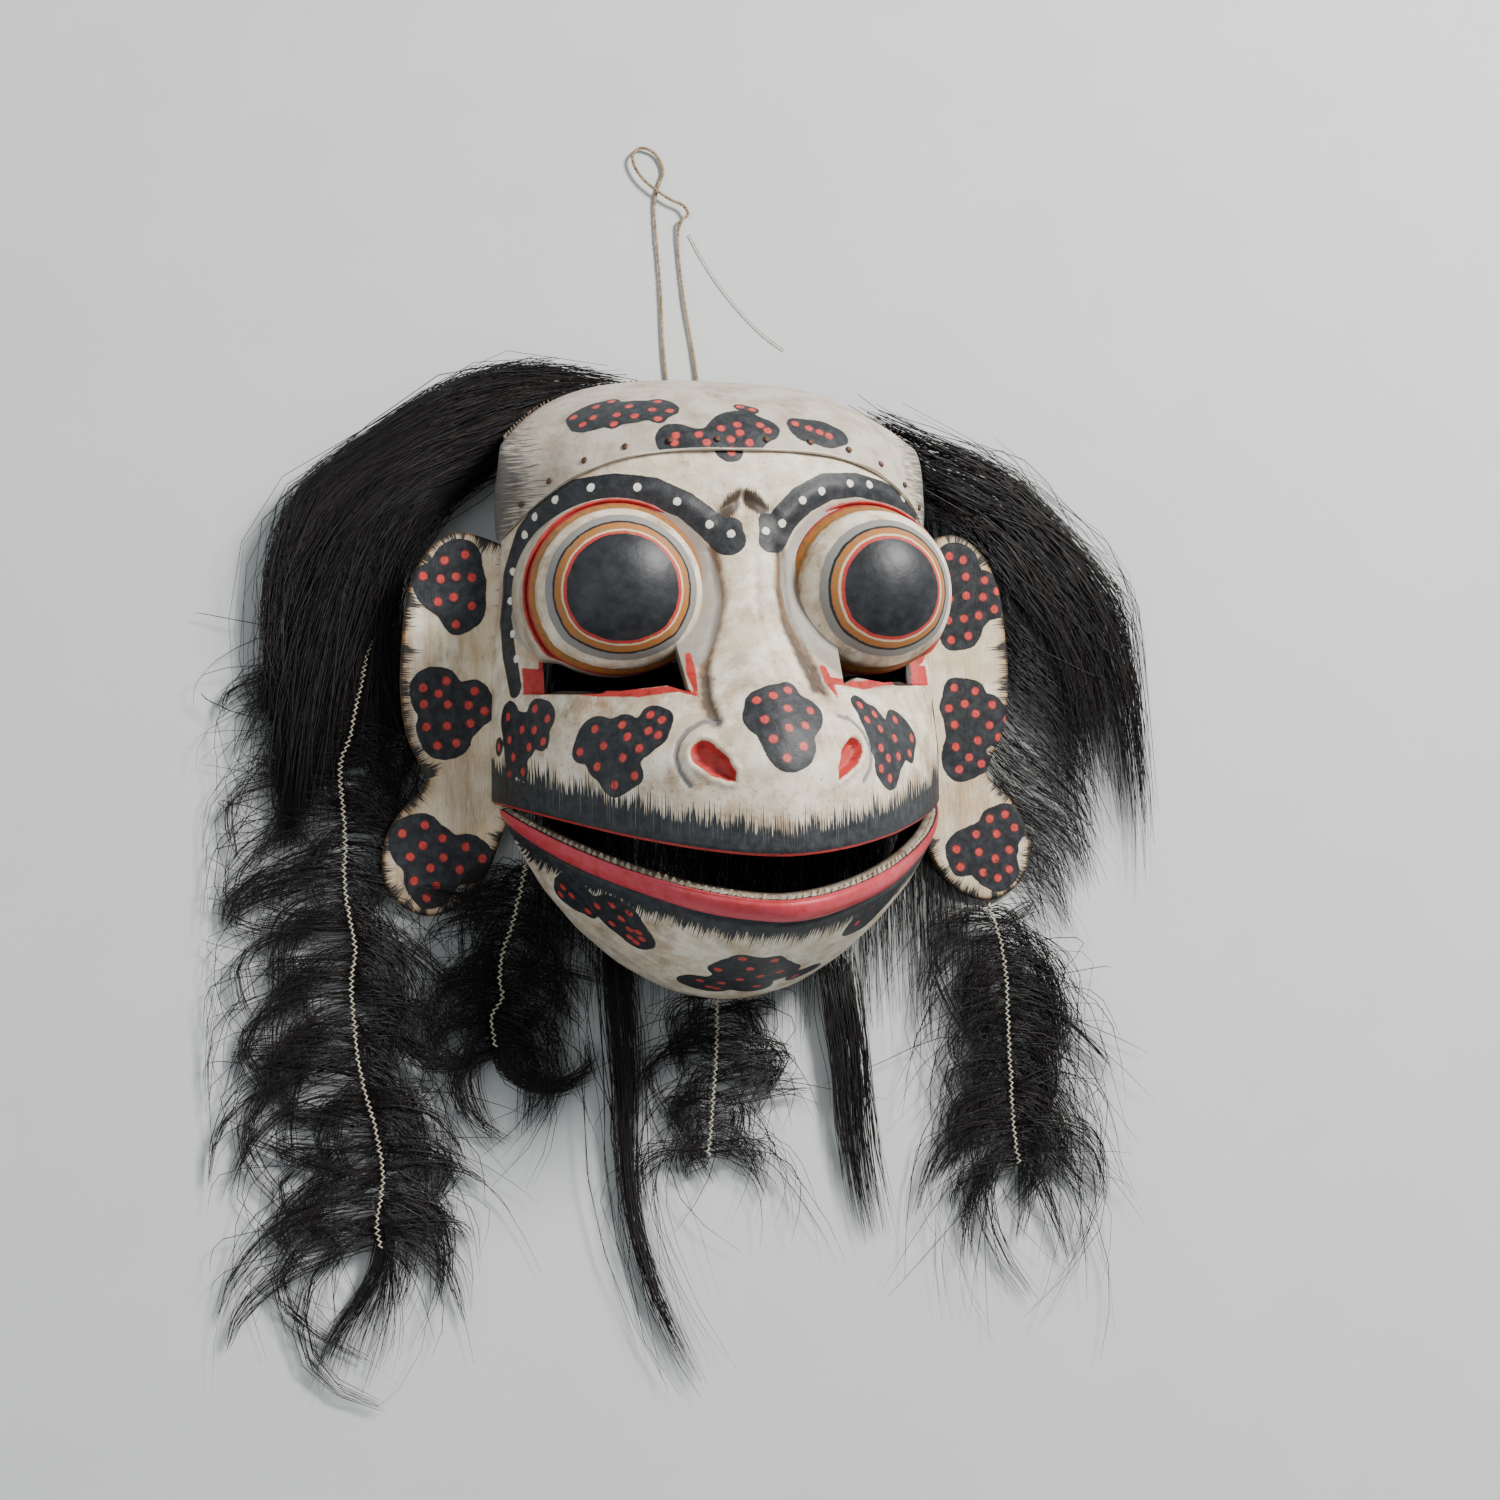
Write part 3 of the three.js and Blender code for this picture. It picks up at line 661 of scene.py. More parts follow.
def prism(name, outline, low, high):
    """Closed block over an outline in the face frame's x and y."""
    n = len(outline)
    pts = np.array([(x, y, z) for z in (low, high) for x, y in outline], float)
    k = np.arange(n)
    sides = np.stack([k, (k + 1) % n, (k + 1) % n + n, k + n], -1)
    ends = np.array([k[::-1], k + n])
    return mesh_piece(name, pts, [sides, ends], smooth=False)


outer = face_grid(FACE_COLS, FACE_ROWS, 0, UNDER_HIDE)
outer = outer + normals(outer) * carving(outer)[..., None]
inner = face_grid(FACE_COLS // COARSE, FACE_ROWS // COARSE, WALL, UNDER_HIDE, LIP_BEVEL)
face = mesh_piece("carved_face", *shell(outer, inner))
slots = []
for side in (-1, 1):
    ledge, x0, x1 = EYES[side]["slot"]
    low = [
        (x0 - 1.5, ledge - 1.5), (x0 + 6, ledge + 1.3), ((x0 + x1) / 2, ledge - 0.4),
        (x1 - 5, ledge + 0.5), (x1 + 1.0, ledge - 0.4),
    ]
    outline = [(side * x, y) for x, y in low + [(x1 + 0.4, SLOT_TOP), (x0, SLOT_TOP)]]
    slots.append(prism("slot", outline[::side], SLOT_BACK, SLOT_FRONT))
cut(face, *slots)

# Lower jaw
HINGE_Y, HINGE_Z, JAW_OPEN, JAW_CORNER = -20, 12, math.radians(9.3), math.radians(81)
CHIN_Y, CHIN_Z, HEEL, HEEL_Z, JAW_REAR, LIP_ROLL, BELLY = -101, 16, 13, 4, 84, 15, 34
JAW_COLS, JAW_ROWS, JAW_WALL, LIP_GAP = 288, 128, 6, 1.2
# The red lip: its width at the corners, how much wider it gets, its bulge and the groove under it
LIP_NARROW, LIP_WIDER, LIP_BULGE, LIP_GROOVE = 3.5, 6.8, 1.3, 0.9


def jaw_lip(u):
    """Upper edge of the jaw, from -1 at one corner of the mouth to 1 at the other."""
    a = u * JAW_CORNER
    p = face_point(a, edge_height(a, lip_at))
    y, z = p[..., 1] - LIP_GAP - HINGE_Y, p[..., 2] - HINGE_Z
    c, s = math.cos(JAW_OPEN), math.sin(JAW_OPEN)
    return np.stack([p[..., 0], HINGE_Y + y * c - z * s, HINGE_Z + y * s + z * c], -1)


def jaw_point(u, v):
    """Point of the jaw's plain form: v is 0 at its lip and 1 at its back edge."""
    c = np.cos(u * np.pi / 2)
    a = jaw_lip(u)
    depth = HINGE_Y - HEEL - CHIN_Y
    d = np.stack([
        JAW_REAR * np.sin(u * np.pi / 2) * (1 - 0.17 * c),
        HINGE_Y - HEEL - depth * np.maximum(c, 0) ** 1.1,
        HEEL_Z + (CHIN_Z - HEEL_Z) * c,
    ], -1)
    b = np.stack([
        a[..., 0] * 1.01,
        a[..., 1] - LIP_ROLL * np.maximum(c, 0) ** 0.7 - 1,
        a[..., 2] - 6 * c - 1,
    ], -1)
    e = np.stack([d[..., 0] * 1.03, d[..., 1] + 4 * c - 1, d[..., 2] + BELLY * c + 3], -1)
    return bezier(a, b, e, d, v)


def jaw_grid(cols, rows):
    """Grid of the jaw's plain form, from its back edge up to its lip."""
    u = np.tile(spread(cols), (rows + 1, 1))
    v = np.linspace(1, 0, rows + 1)[:, None]
    return jaw_point(u, v[..., None])


outer = jaw_grid(JAW_COLS, JAW_ROWS)
steps = np.linalg.norm(np.diff(outer[::-1], axis=0), axis=-1)
from_lip = np.concatenate([np.zeros((1, JAW_COLS + 1)), np.cumsum(steps, 0)])[::-1]
inwards = np.broadcast_to(np.cos(spread(JAW_COLS) * np.pi / 2), from_lip.shape)
lip_width = LIP_NARROW + LIP_WIDER * np.maximum(inwards, 0) ** 0.6
lift = LIP_BULGE * np.sin(np.pi * np.clip(from_lip / lip_width, 0, 1)) ** 0.7 * inwards
lift -= LIP_GROOVE * np.exp(-(from_lip - lip_width - 0.6) ** 2) * inwards
lift += 0.25 * np.sin(outer[..., 0] / 6.3) * np.sin(from_lip / 5.1) + 0.4 * np.sin(outer[..., 0] / 19 + 1)
outer = outer + normals(outer) * (lift * smooth(0, 1.5, from_lip))[..., None]
inner = jaw_grid(JAW_COLS // COARSE, JAW_ROWS // COARSE)
inner = inner - normals(inner) * JAW_WALL
jaw = mesh_piece("jaw_wood", *shell(outer, inner))

# Teeth cut along the jaw's rim
LIP_POINTS, TEETH_END, TOOTH_PITCH = 600, 0.94, 3.35
TOOTH_IN, TOOTH_SUNK, TOOTH_HALF, TOOTH_THICK, TIP_HALF = 2.6, 0.9, 1.75, 1.9, 0.35
tooth_base = np.array([[3, 2, 1, 0]])
tooth_sides = np.array([[0, 1, 4], [0, 4, 5], [1, 2, 4], [2, 3, 5], [2, 5, 4], [3, 0, 5]])
lip_line = jaw_lip(np.linspace(-TEETH_END, TEETH_END, LIP_POINTS))
walk = walked(lip_line)
parts = []
for at in np.arange(2, walk[-1] - 2, TOOTH_PITCH):
    k = int(np.searchsorted(walk, at))
    p = lip_line[k]
    ahead = lip_line[min(k + 1, LIP_POINTS - 1)] - lip_line[k - 1]
    ahead /= np.linalg.norm(ahead)
    inward = np.cross(ahead, [0, 1, 0])
    inward = -inward * np.sign(inward[2]) / np.linalg.norm(inward)
    up = np.array([0, math.cos(JAW_OPEN), math.sin(JAW_OPEN)]) - 0.25 * inward
    size = chance.uniform(0.85, 1.12)
    base = p + inward * TOOTH_IN - up * TOOTH_SUNK
    corners = [
        base + ahead * TOOTH_HALF * size * i + inward * TOOTH_THICK * j
        for i, j in ((-1, -1), (1, -1), (1, 1), (-1, 1))
    ]
    from_hinge = math.hypot(p[1] - HINGE_Y, p[2] - HINGE_Z)
    stands = 0.9 + 2.6 * size * min(1.0, 0.25 + from_hinge / 110)
    tip = base + up * stands + chance.uniform(-0.2, 0.2, 3)
    pts = np.array(corners + [tip + ahead * TIP_HALF, tip - ahead * TIP_HALF])
    parts.append((pts, [tooth_base, tooth_sides]))
teeth = mesh_piece("jaw_teeth", *joined(parts), smooth=False)

# Rawhide crown
HIDE, CROWN_Y, CROWN_Z, CROWN_END_Y, CROWN_END_Z = 1.6, 156, -50, 124, 3
HIDE_COLS, HIDE_ROWS = 280, 96


def crown_rear(a):
    """Back edge of the crown."""
    q = np.abs(np.sin(a))
    return np.stack([
        BROW_HALF * np.sin(a),
        CROWN_Y - (CROWN_Y - CROWN_END_Y) * q ** 3,
        CROWN_Z + (CROWN_END_Z - CROWN_Z) * q ** 2.6,
    ], -1)


def crown_point(a, v):
    """Point of the crown's plain form: v is 0 at its front edge and 1 at its back."""
    c = np.cos(a)
    p, s = face_point(a, edge_height(a, seam_at)), crown_rear(a)
    b = np.stack([p[..., 0] * 1.03, p[..., 1] + 16 * c + 8, p[..., 2] - 8 * c], -1)
    e = np.stack([s[..., 0] * 1.01, s[..., 1] - c, s[..., 2] + 36 * c + 4], -1)
    return bezier(p, b, e, s, np.asarray(v)[..., None])


def crown_grid(cols, rows):
    """Grid of the crown's plain form, from front to back."""
    a = np.tile(np.radians(90) * spread(cols), (rows + 1, 1))
    return crown_point(a, np.tile(np.linspace(0, 1, rows + 1)[:, None], (1, cols + 1)))


outer = crown_grid(HIDE_COLS, HIDE_ROWS)
v = np.linspace(0, 1, HIDE_ROWS + 1)[:, None]
x = outer[..., 0]
buckle = 0.28 * np.sin(x / 7.7 + 3 * v) * np.sin(v * 9 + x / 31)
buckle += 0.35 * np.sin(x / 3.9 + np.sin(x / 9)) * np.exp(-v * 14)
outer = outer + normals(outer) * (HIDE + TOUCH + buckle)[..., None]
inner = crown_grid(HIDE_COLS // COARSE, HIDE_ROWS // COARSE)
inner = inner + normals(inner) * TOUCH
hide = mesh_piece("crown_rawhide", *shell(outer, inner))

# Rope whipped to the back edge of the hide
ROPE_POINTS, ROPE_SPAN, ROPE_R, ROPE_CORE = 500, 79, 1.6, 1.1
STRAND, STRAND_REACH, STRAND_LAY, STITCH_PITCH = 0.42, 1.18, 4.4, 2.7
# Each stitch's five points: how far behind the rope's middle, over it and along it
STITCH = [(-4.6, 0.7, -1), (-3.6, 1.55, -0.7), (-1.4, 1.9, 0), (0.6, 1.7, 0.3), (1.6, 0.4, 0.6)]
a = np.radians(np.linspace(-ROPE_SPAN, ROPE_SPAN, ROPE_POINTS))
edge = crown_rear(a)
back = edge - crown_point(a, np.full(ROPE_POINTS, 0.94))
back /= np.linalg.norm(back, axis=1, keepdims=True)
out = np.cross(np.gradient(edge, axis=0), back)
out /= np.linalg.norm(out, axis=1, keepdims=True)
rope_line = edge + back * (ROPE_R + 3 * TOUCH) + out * (TOUCH + HIDE / 2)
walk = walked(rope_line)
parts = [tube(rope_line, ROPE_CORE)]
for way in (1, -1):
    places = np.linspace(0, walk[-1], 3 * ROPE_POINTS)
    line, behind, over = (along(places, walk, q) for q in (rope_line, back, out))
    turn = way * 2 * np.pi * places / STRAND_LAY + 0.5 * np.sin(places / 7)
    parts.append(wound(line, behind, over, STRAND, turn, STRAND_REACH))
for at in np.arange(1.5, walk[-1] - 1.5, STITCH_PITCH):
    at = at + chance.uniform(-0.35, 0.35)
    middle, behind, over = (along(at, walk, q) for q in (rope_line, back, out))
    onwards = np.cross(behind, over) * chance.uniform(0.5, 1.6)
    stitch = [middle + behind * b + over * h + onwards * s for b, h, s in STITCH]
    parts.append(tube(smooth_path(stitch, 3), STRAND, 5))
rope = mesh_piece("whipped_rope", *joined(parts))

# Nails along the front edge of the hide
NAILS, NAIL_SIDES, NAIL_SPAN, NAIL_IN = 12, 18, 74, 4
SHANK, NAIL_ROOT, NAIL_TOP = 0.5, -5.5, 2.93
# Radius and height of the nail's shank and of its ragged head
NAIL_FORM = [
    (SHANK, NAIL_ROOT), (SHANK, 1.6), (1.24, 2.15), (1.32, 2.4), (1.2, 2.68), (0.8, 2.88), (0.35, 2.92),
]
phi = 2 * np.pi * np.arange(NAIL_SIDES) / NAIL_SIDES
nails = []
for i in range(NAILS):
    a = np.radians((2 * (i + 0.5) / NAILS - 1) * NAIL_SPAN)
    v = 0.1 * NAIL_IN / np.linalg.norm(crown_point(a, 0) - crown_point(a, 0.1))
    p = crown_point(a, v)
    axis = np.cross(crown_point(a + 0.01, v) - crown_point(a - 0.01, v), crown_point(a, v + 0.02) - p)
    axis /= np.linalg.norm(axis)
    across = np.cross(axis, [0, 0, 1.0])
    across /= np.linalg.norm(across)
    up = np.cross(across, axis)
    ragged = 1 + 0.10 * np.sin(2 * phi + i) + 0.06 * np.sin(5 * phi + 2 * i)
    rows = []
    for r, h in NAIL_FORM:
        wide = r * (ragged if r > SHANK else 1)
        rows.append(p + axis * h + (np.cos(phi) * wide)[:, None] * across + (np.sin(phi) * wide)[:, None] * up)
    pts = np.concatenate(rows + [[p + axis * NAIL_ROOT, p + axis * NAIL_TOP]])
    n = len(rows) * NAIL_SIDES
    faces = [grid_quads(len(rows), NAIL_SIDES, closed=True), fans(0, n - NAIL_SIDES, NAIL_SIDES, n)]
    nails.append(mesh_piece(f"hide_nail_{i + 1:02d}", pts, faces))

# Ears
BOARD, TUCK, EAR_STEP = 3.5, 84, 1.15
EAR_TOP_X, EAR_TOP_Y, EAR_SIDE_X = 106, 89.5, 128.5
WAIST_X, WAIST_Y, LOBE_X, LOBE_Y = 118.6, -10, 137.5, -65
ear_outline = [
    (TUCK, EAR_TOP_Y - 6), (EAR_TOP_X - 8, EAR_TOP_Y - 1), (EAR_TOP_X, EAR_TOP_Y),
    (EAR_TOP_X + 8, EAR_TOP_Y - 4), (EAR_SIDE_X - 8, EAR_TOP_Y - 12),
    (EAR_SIDE_X - 3, EAR_TOP_Y - 24), (EAR_SIDE_X, EAR_TOP_Y - 48),
    (EAR_SIDE_X + 0.5, WAIST_Y + 34), (EAR_SIDE_X - 2, WAIST_Y + 17), (WAIST_X + 2, WAIST_Y + 4),
    (WAIST_X + 0.5, WAIST_Y - 2), (WAIST_X + 5, WAIST_Y - 7), (LOBE_X - 7, LOBE_Y + 41),
    (LOBE_X - 1.5, LOBE_Y + 31), (LOBE_X, LOBE_Y + 20), (LOBE_X - 2, LOBE_Y + 11),
    (LOBE_X - 8, LOBE_Y + 4), (LOBE_X - 18, LOBE_Y), (LOBE_X - 29, LOBE_Y + 2.5),
    (LOBE_X - 38, LOBE_Y + 10), (TUCK + 9, LOBE_Y + 21), (TUCK + 4, LOBE_Y + 34), (TUCK, LOBE_Y + 40),
]


def ear(side):
    """Board of one ear, with each point's distance from the edge, place along it, and 1 on the front."""
    ring = smooth_path([(x, y, 0) for x, y in ear_outline], 8)[:, :2]
    ring = np.concatenate([ring, np.linspace(ring[-1], ring[0], 60)[1:-1]]) * [side, 1]
    xs, ys = (np.arange(ring[:, k].min() + 0.7, ring[:, k].max(), EAR_STEP) for k in range(2))
    gx, gy = np.meshgrid(xs, ys)
    gx = gx + 0.57 * (np.arange(len(ys)) % 2)[:, None]
    inside = np.stack([gx.ravel(), gy.ravel()], -1)
    inside = inside[to_outline(inside, ring)[0] > 0.75]
    flat = [Vector(p) for p in np.concatenate([ring, inside])]
    edges = [(i, (i + 1) % len(ring)) for i in range(len(ring))]
    found = delaunay_2d_cdt(flat, edges, [], 1, 1e-5)
    pts, lap = np.array([p[:] for p in found[0]]), np.array(found[2])
    area = np.cross(pts[lap[:, 1]] - pts[lap[:, 0]], pts[lap[:, 2]] - pts[lap[:, 0]])
    lap[area < 0] = lap[area < 0][:, ::-1]
    gap, run = to_outline(pts, ring)
    count = len(pts)
    soften = 0.55 * (1 - smooth(0, 1.3, gap))
    wave = 0.25 * np.sin(pts[:, 1] / 9) * np.sin(pts[:, 0] / 14)
    top = np.column_stack([pts, -TOUCH - soften * 0.9 - 0.25 + wave])
    low = np.column_stack([pts, -TOUCH - BOARD + soften * 0.5])
    # the ring's own points, in order, in the found mesh
    order = np.array([np.argmin(((pts - q) ** 2).sum(1)) for q in ring])
    after = np.roll(order, -1)
    walls = np.stack([order, after, after + count, order + count], -1)[:, ::side]
    faces = [np.concatenate([lap, lap[:, ::-1] + count]), walls]
    ob = mesh_piece("ear_board_" + SIDE_NAMES[side], np.concatenate([top, low]), faces)
    return ob, np.tile(gap, 2), np.tile(run, 2), np.repeat([1.0, 0.0], count)


def to_outline(pts, ring):
    """Distance inside a closed outline, less than 0 outside, and place along it."""
    a, b = ring, np.roll(ring, -1, axis=0)
    best, place, walk = np.full(len(pts), 1e9), np.zeros(len(pts)), 0.0
    odd = np.zeros(len(pts), int)
    for p, q in zip(a, b):
        d = q - p
        size = max(float(np.hypot(*d)), 1e-9)
        t = np.clip((pts - p) @ d / size ** 2, 0, 1)
        gap = np.linalg.norm(pts - p - t[:, None] * d, axis=1)
        place = np.where(gap < best, walk + t * size, place)
        best = np.minimum(best, gap)
        walk += size
        spans = (p[1] > pts[:, 1]) != (q[1] > pts[:, 1])
        meets = p[0] + (pts[:, 1] - p[1]) * d[0] / (d[1] if abs(d[1]) > 1e-12 else 1e-12)
        odd += spans & (pts[:, 0] < meets)
    return np.where(odd % 2 == 1, best, -best), place


ears = {side: ear(side) for side in (-1, 1)}
for side in (-1, 1):
    points, faces, reach = eyeball(side)
    ob = mesh_piece("eyeball_" + SIDE_NAMES[side], points, faces)
    note(ob, reach=reach)
    EYES[side]["ball"] = ob

# Where the paint lies
DOT, BROW_DOT, SPOT_MARGIN, SPOT_BLEND, OUT_OF_REACH = 1.9, 1.65, 1.9, 1.5, 60
# Left, top and scale of the enlarged parts of the picture on which marks were measured
FACE_CROP, CROWN_CROP = (470, 640, 3.2), (480, 370, 3.267)
LEFT_EAR_CROP, LEFT_LOBE_CROP, RIGHT_EAR_CROP = (180, 340, 3.014), (180, 820, 2.6136), (860, 380, 3.015)


def lay_marks(ob, skin, here, spot, dots, margin=SPOT_MARGIN):
    """Writes the distance to the nearest dark spot, and to its nearest dot."""
    lobes, wide = skin.marks(spot)
    centres, radii = skin.marks(dots)
    places, sizes = np.concatenate([lobes, centres]), np.concatenate([wide - 0.4, radii + margin])
    note(ob, dots=near(here, centres, radii), spot=merged(here, places, sizes, SPOT_BLEND))


def from_crop(crop, rows, radius=None):
    """Marks measured on an enlarged part of the picture."""
    left, top, scale = crop
    return [(left + r[0] / scale, top + r[1] / scale, radius if radius else r[2]) for r in rows]


def skin_of(ob):
    """A piece's own surface, to find marks on."""
    return Skin(points_of(ob), triangles_of(ob))


face_spots = from_crop(FACE_CROP, [
    (125, 255, 7.5), (225, 250, 7.5), (140, 370, 8.1), (160, 300, 8.5), (150, 345, 8), (450, 360, 10),
    (1340, 350, 9.5), (1300, 280, 7), (1000, 265, 10),
    (395, 318, 9.7), (595, 265, 6.3), (470, 420, 9.2), (480, 310, 8.7), (560, 320, 5.6),
    (985, 215, 9.0), (940, 245, 8.3), (1068, 240, 8.3), (1025, 340, 10.2),
    (1247, 205, 3.5), (1300, 260, 5.5), (1385, 300, 10), (1345, 410, 8), (1330, 330, 8),
]) + [(937, 720, 8), (941, 755, 10)] + from_crop(CROWN_CROP, [(822, 258, 3.5), (790, 250, 3.0)])
face_dots = from_crop(FACE_CROP, [
    (206, 220), (122, 246), (245, 251), (165, 286), (203, 288), (127, 319), (232, 325), (94, 343), (188, 343),
    (139, 375), (168, 422), (125, 432), (576, 238), (613, 255), (485, 269), (398, 284), (569, 289), (601, 303),
    (502, 308), (425, 338), (540, 346), (350, 358), (487, 376), (405, 405), (525, 434), (461, 465),
    (1014, 168), (969, 185), (917, 199), (1015, 223), (1088, 228), (943, 257), (1073, 275), (1020, 283),
    (971, 318), (1067, 342), (1015, 378), (1249, 207), (1298, 235), (1273, 253), (1364, 253), (1317, 282),
    (1415, 313), (1362, 313), (1319, 343), (1409, 362), (1374, 372), (1343, 377), (1319, 411), (1346, 442),
    (1487, 219), (1500, 255), (1507, 325), (1503, 362),
], DOT) + [(731.6, 452, DOT)]
brow_dots = [(u, v, BROW_DOT) for u, v in [
    (730, 535), (709, 525), (677, 502), (638, 488), (592, 488), (557, 500), (537, 517), (527, 535), (515, 572),
    (512, 601), (513, 634), (516, 659), (764, 532), (781, 524), (801, 501), (820, 492), (848, 484), (867, 485),
    (901, 498), (917, 517), (934, 550), (939, 571), (940, 596), (936, 623), (931, 652),
]]
LIP_LINE, GROOVE, CREASE, HATCH = 0.9, 1.1, 1.3, (1.0, 3.2, 2.6)
there = points_of(face)
here = np.array([plain_skin.tree.find_nearest(Vector(q))[0] for q in there])
lay_marks(face, plain_skin, here, face_spots, face_dots)
up_lip = here[:, 1] - lip_at(here[:, 0])
red = [up_lip - LIP_LINE, strokes(here, [(line, width - 0.2) for line, width in nostril_marks])]
for side, ledge in JAMB_LEDGES.items():
    x, y = here[:, 0] * side, here[:, 1]
    bounds = [x - JAMB_FAR - 4.0, JAMB_NEAR + 8 - x, ledge - 0.8 - y, y - JAMB_TOP + 4]
    red.append(np.maximum.reduce(bounds))
ledges = [
    ([(540, 688), (575, 690), (600, 692), (640, 693), (680, 688), (699, 697)], [1.6, 1.7, 1.8, 1.8, 1.6, 0.3]),
    ([(688, 655), (691, 672), (698, 698)], [1.2, 1.9, 0.3]),
    ([(529, 636), (536, 664), (541, 682)], [0.6, 2.9, 4.4]),
    ([(928, 634), (923, 654), (915, 668)], [0.6, 3.6, 5.0]),
    ([(823, 668), (829, 682), (839, 698)], [1.6, 2.2, 0.3]),
    ([(829, 680), (862, 685), (895, 680), (925, 678)], [1.7, 1.9, 1.9, 1.8]),
]
red.append(strokes(here, [(lines_on(plain_skin, line)[0], width) for line, width in ledges]))
hatching = lines_on(
    plain_skin, [(739, 491), (733, 502), (724, 515)], [(747, 491), (753, 499), (762, 509)],
)
note(
    face, red=np.minimum.reduce(red), brow=strokes(here, brow_marks + brow_drops),
    brow_dots=near(here, *plain_skin.marks(brow_dots)),
    grooves=strokes(here, [(line, GROOVE) for line in wing_lines]),
    creases=strokes(here, [(line, CREASE) for line in (crease_left, crease_right, inner_right)]),
    hatch=strokes(here, [(line, HATCH) for line in hatching]),
    rims=near(here[:, :2], [(-EYE_X, EYE_Y), (EYE_X, EYE_Y)], [EYE_R + 1.5] * 2),
    inside=(np.linalg.norm(there - here, axis=1) > 5.2) & (np.abs(there[:, 0]) < CHEEK_HALF - 4),
    lip=up_lip, along=here[:, 0],
)

here = points_of(jaw)
inside = np.arange(len(here)) >= from_lip.size
unseen = np.full(inside.sum(), OUT_OF_REACH)
note(
    jaw, lip=np.append(from_lip, unseen), width=np.maximum(np.append(lip_width, 0 * unseen), 4),
    along=here[:, 0], inside=inside,
)
jaw_spots = from_crop(FACE_CROP, [
    (320, 822, 8), (470, 880, 10), (535, 945, 8), (850, 1050, 8), (975, 1050, 7.3), (900, 1110, 8.5),
    (340, 806, 10), (486, 902, 12), (902, 1064, 14.5), (740, 1100, 9), (830, 1095, 9), (990, 1065, 9),
    (1290, 865, 12), (1340, 825, 8),
    (700, 1095, 5), (760, 1100, 6), (1300, 860, 9), (1240, 905, 8), (1075, 1060, 7),
])
jaw_dots = from_crop(FACE_CROP, [
    (297, 791), (290, 815), (325, 818), (407, 852), (454, 849), (377, 868), (508, 873), (484, 892), (454, 908),
    (510, 926), (540, 936), (511, 951), (531, 967), (550, 957), (872, 1021), (975, 1026), (793, 1055),
    (897, 1053), (992, 1061), (930, 1076), (864, 1087), (805, 1098), (917, 1108), (735, 1090), (765, 1110),
    (790, 1115), (1330, 825), (1290, 850), (1240, 905), (1040, 1075),
], DOT)
lay_marks(jaw, skin_of(jaw), here, jaw_spots, jaw_dots)

here = points_of(hide)
note(
    hide, seam=here[:, 1] - seam_at(here[:, 0]), along=here[:, 0], up=here[:, 1],
    inside=np.arange(len(here)) >= (HIDE_COLS + 1) * (HIDE_ROWS + 1),
)
hide_spots = from_crop(CROWN_CROP, [
    (375, 145, 11.9), (500, 130, 10), (585, 124, 8.0), (640, 225, 8.5), (850, 190, 12), (815, 250, 12),
    (935, 192, 5.5), (1060, 195, 7), (1120, 205, 8), (1170, 215, 5),
])
hide_dots = from_crop(CROWN_CROP, [
    (380, 120), (430, 103), (487, 118), (447, 146), (370, 155), (437, 176), (505, 150), (563, 129), (620, 133),
    (582, 159), (580, 103), (305, 155), (335, 178), (635, 237), (742, 236), (820, 226), (880, 237), (640, 213),
    (715, 210), (788, 190), (850, 205), (840, 178), (915, 180), (940, 198), (822, 268), (850, 120), (890, 130),
    (1030, 175), (1075, 190), (1110, 203), (1140, 215),
], DOT)
lay_marks(hide, skin_of(hide), here, hide_spots, hide_dots, margin=0.8)

ear_spots = {
    -1: [(458.7, 561.6, 9.6), (436.1, 587.2, 9.3), (461.4, 608.1, 9.9), (468.7, 585.5, 7.3)]
    + from_crop(LEFT_EAR_CROP, [(765, 1055, 9.7), (880, 1098, 9.1), (800, 1183, 11), (830, 1100, 6.7)])
    + [(417.2, 843, 11.8), (467.7, 859.4, 10.1), (432.5, 883.1, 10), (444, 858.3, 6.9)],
    1: from_crop(RIGHT_EAR_CROP, [
        (290, 560, 10), (365, 655, 9.1), (300, 740, 10.1), (290, 640, 8), (312, 967, 9.3), (390, 1030, 8.7),
        (310, 1140, 9.9), (320, 1050, 8.7), (435, 1345, 9.1), (325, 1418, 9.6), (415, 1480, 8.8), (385, 1420, 7.3),
    ]),
}
ear_dots = {
    -1: from_crop(LEFT_EAR_CROP, [
        (860, 647), (797, 664), (733, 711), (786, 720), (832, 713), (880, 716), (825, 775), (778, 789), (880, 801),
        (832, 858), (803, 1028), (733, 1048), (780, 1066), (888, 1058), (735, 1098), (807, 1098), (870, 1101),
        (918, 1118), (743, 1166), (805, 1163), (875, 1156), (776, 1223), (833, 1215),
    ], DOT) + from_crop(LEFT_LOBE_CROP, [
        (640, 14), (581, 35), (686, 48), (635, 66), (747, 70), (602, 96), (689, 98), (790, 101), (655, 125),
        (731, 129), (612, 159), (670, 172), (645, 203),
    ], DOT),
    1: from_crop(RIGHT_EAR_CROP, [
        (270, 531), (311, 543), (261, 591), (319, 593), (376, 604), (413, 637), (270, 660), (321, 650), (371, 654),
        (405, 691), (266, 724), (313, 719), (358, 710), (275, 784), (327, 772), (284, 928), (347, 938), (268, 990),
        (316, 976), (349, 1006), (399, 979), (440, 1023), (285, 1039), (391, 1041), (418, 1077), (355, 1087),
        (289, 1106), (329, 1138), (366, 1157), (299, 1174), (438, 1309), (391, 1323), (466, 1349), (350, 1369),
        (412, 1368), (291, 1415), (359, 1423), (450, 1416), (408, 1443), (303, 1468), (450, 1475), (371, 1485),
        (416, 1501),
    ], DOT),
}
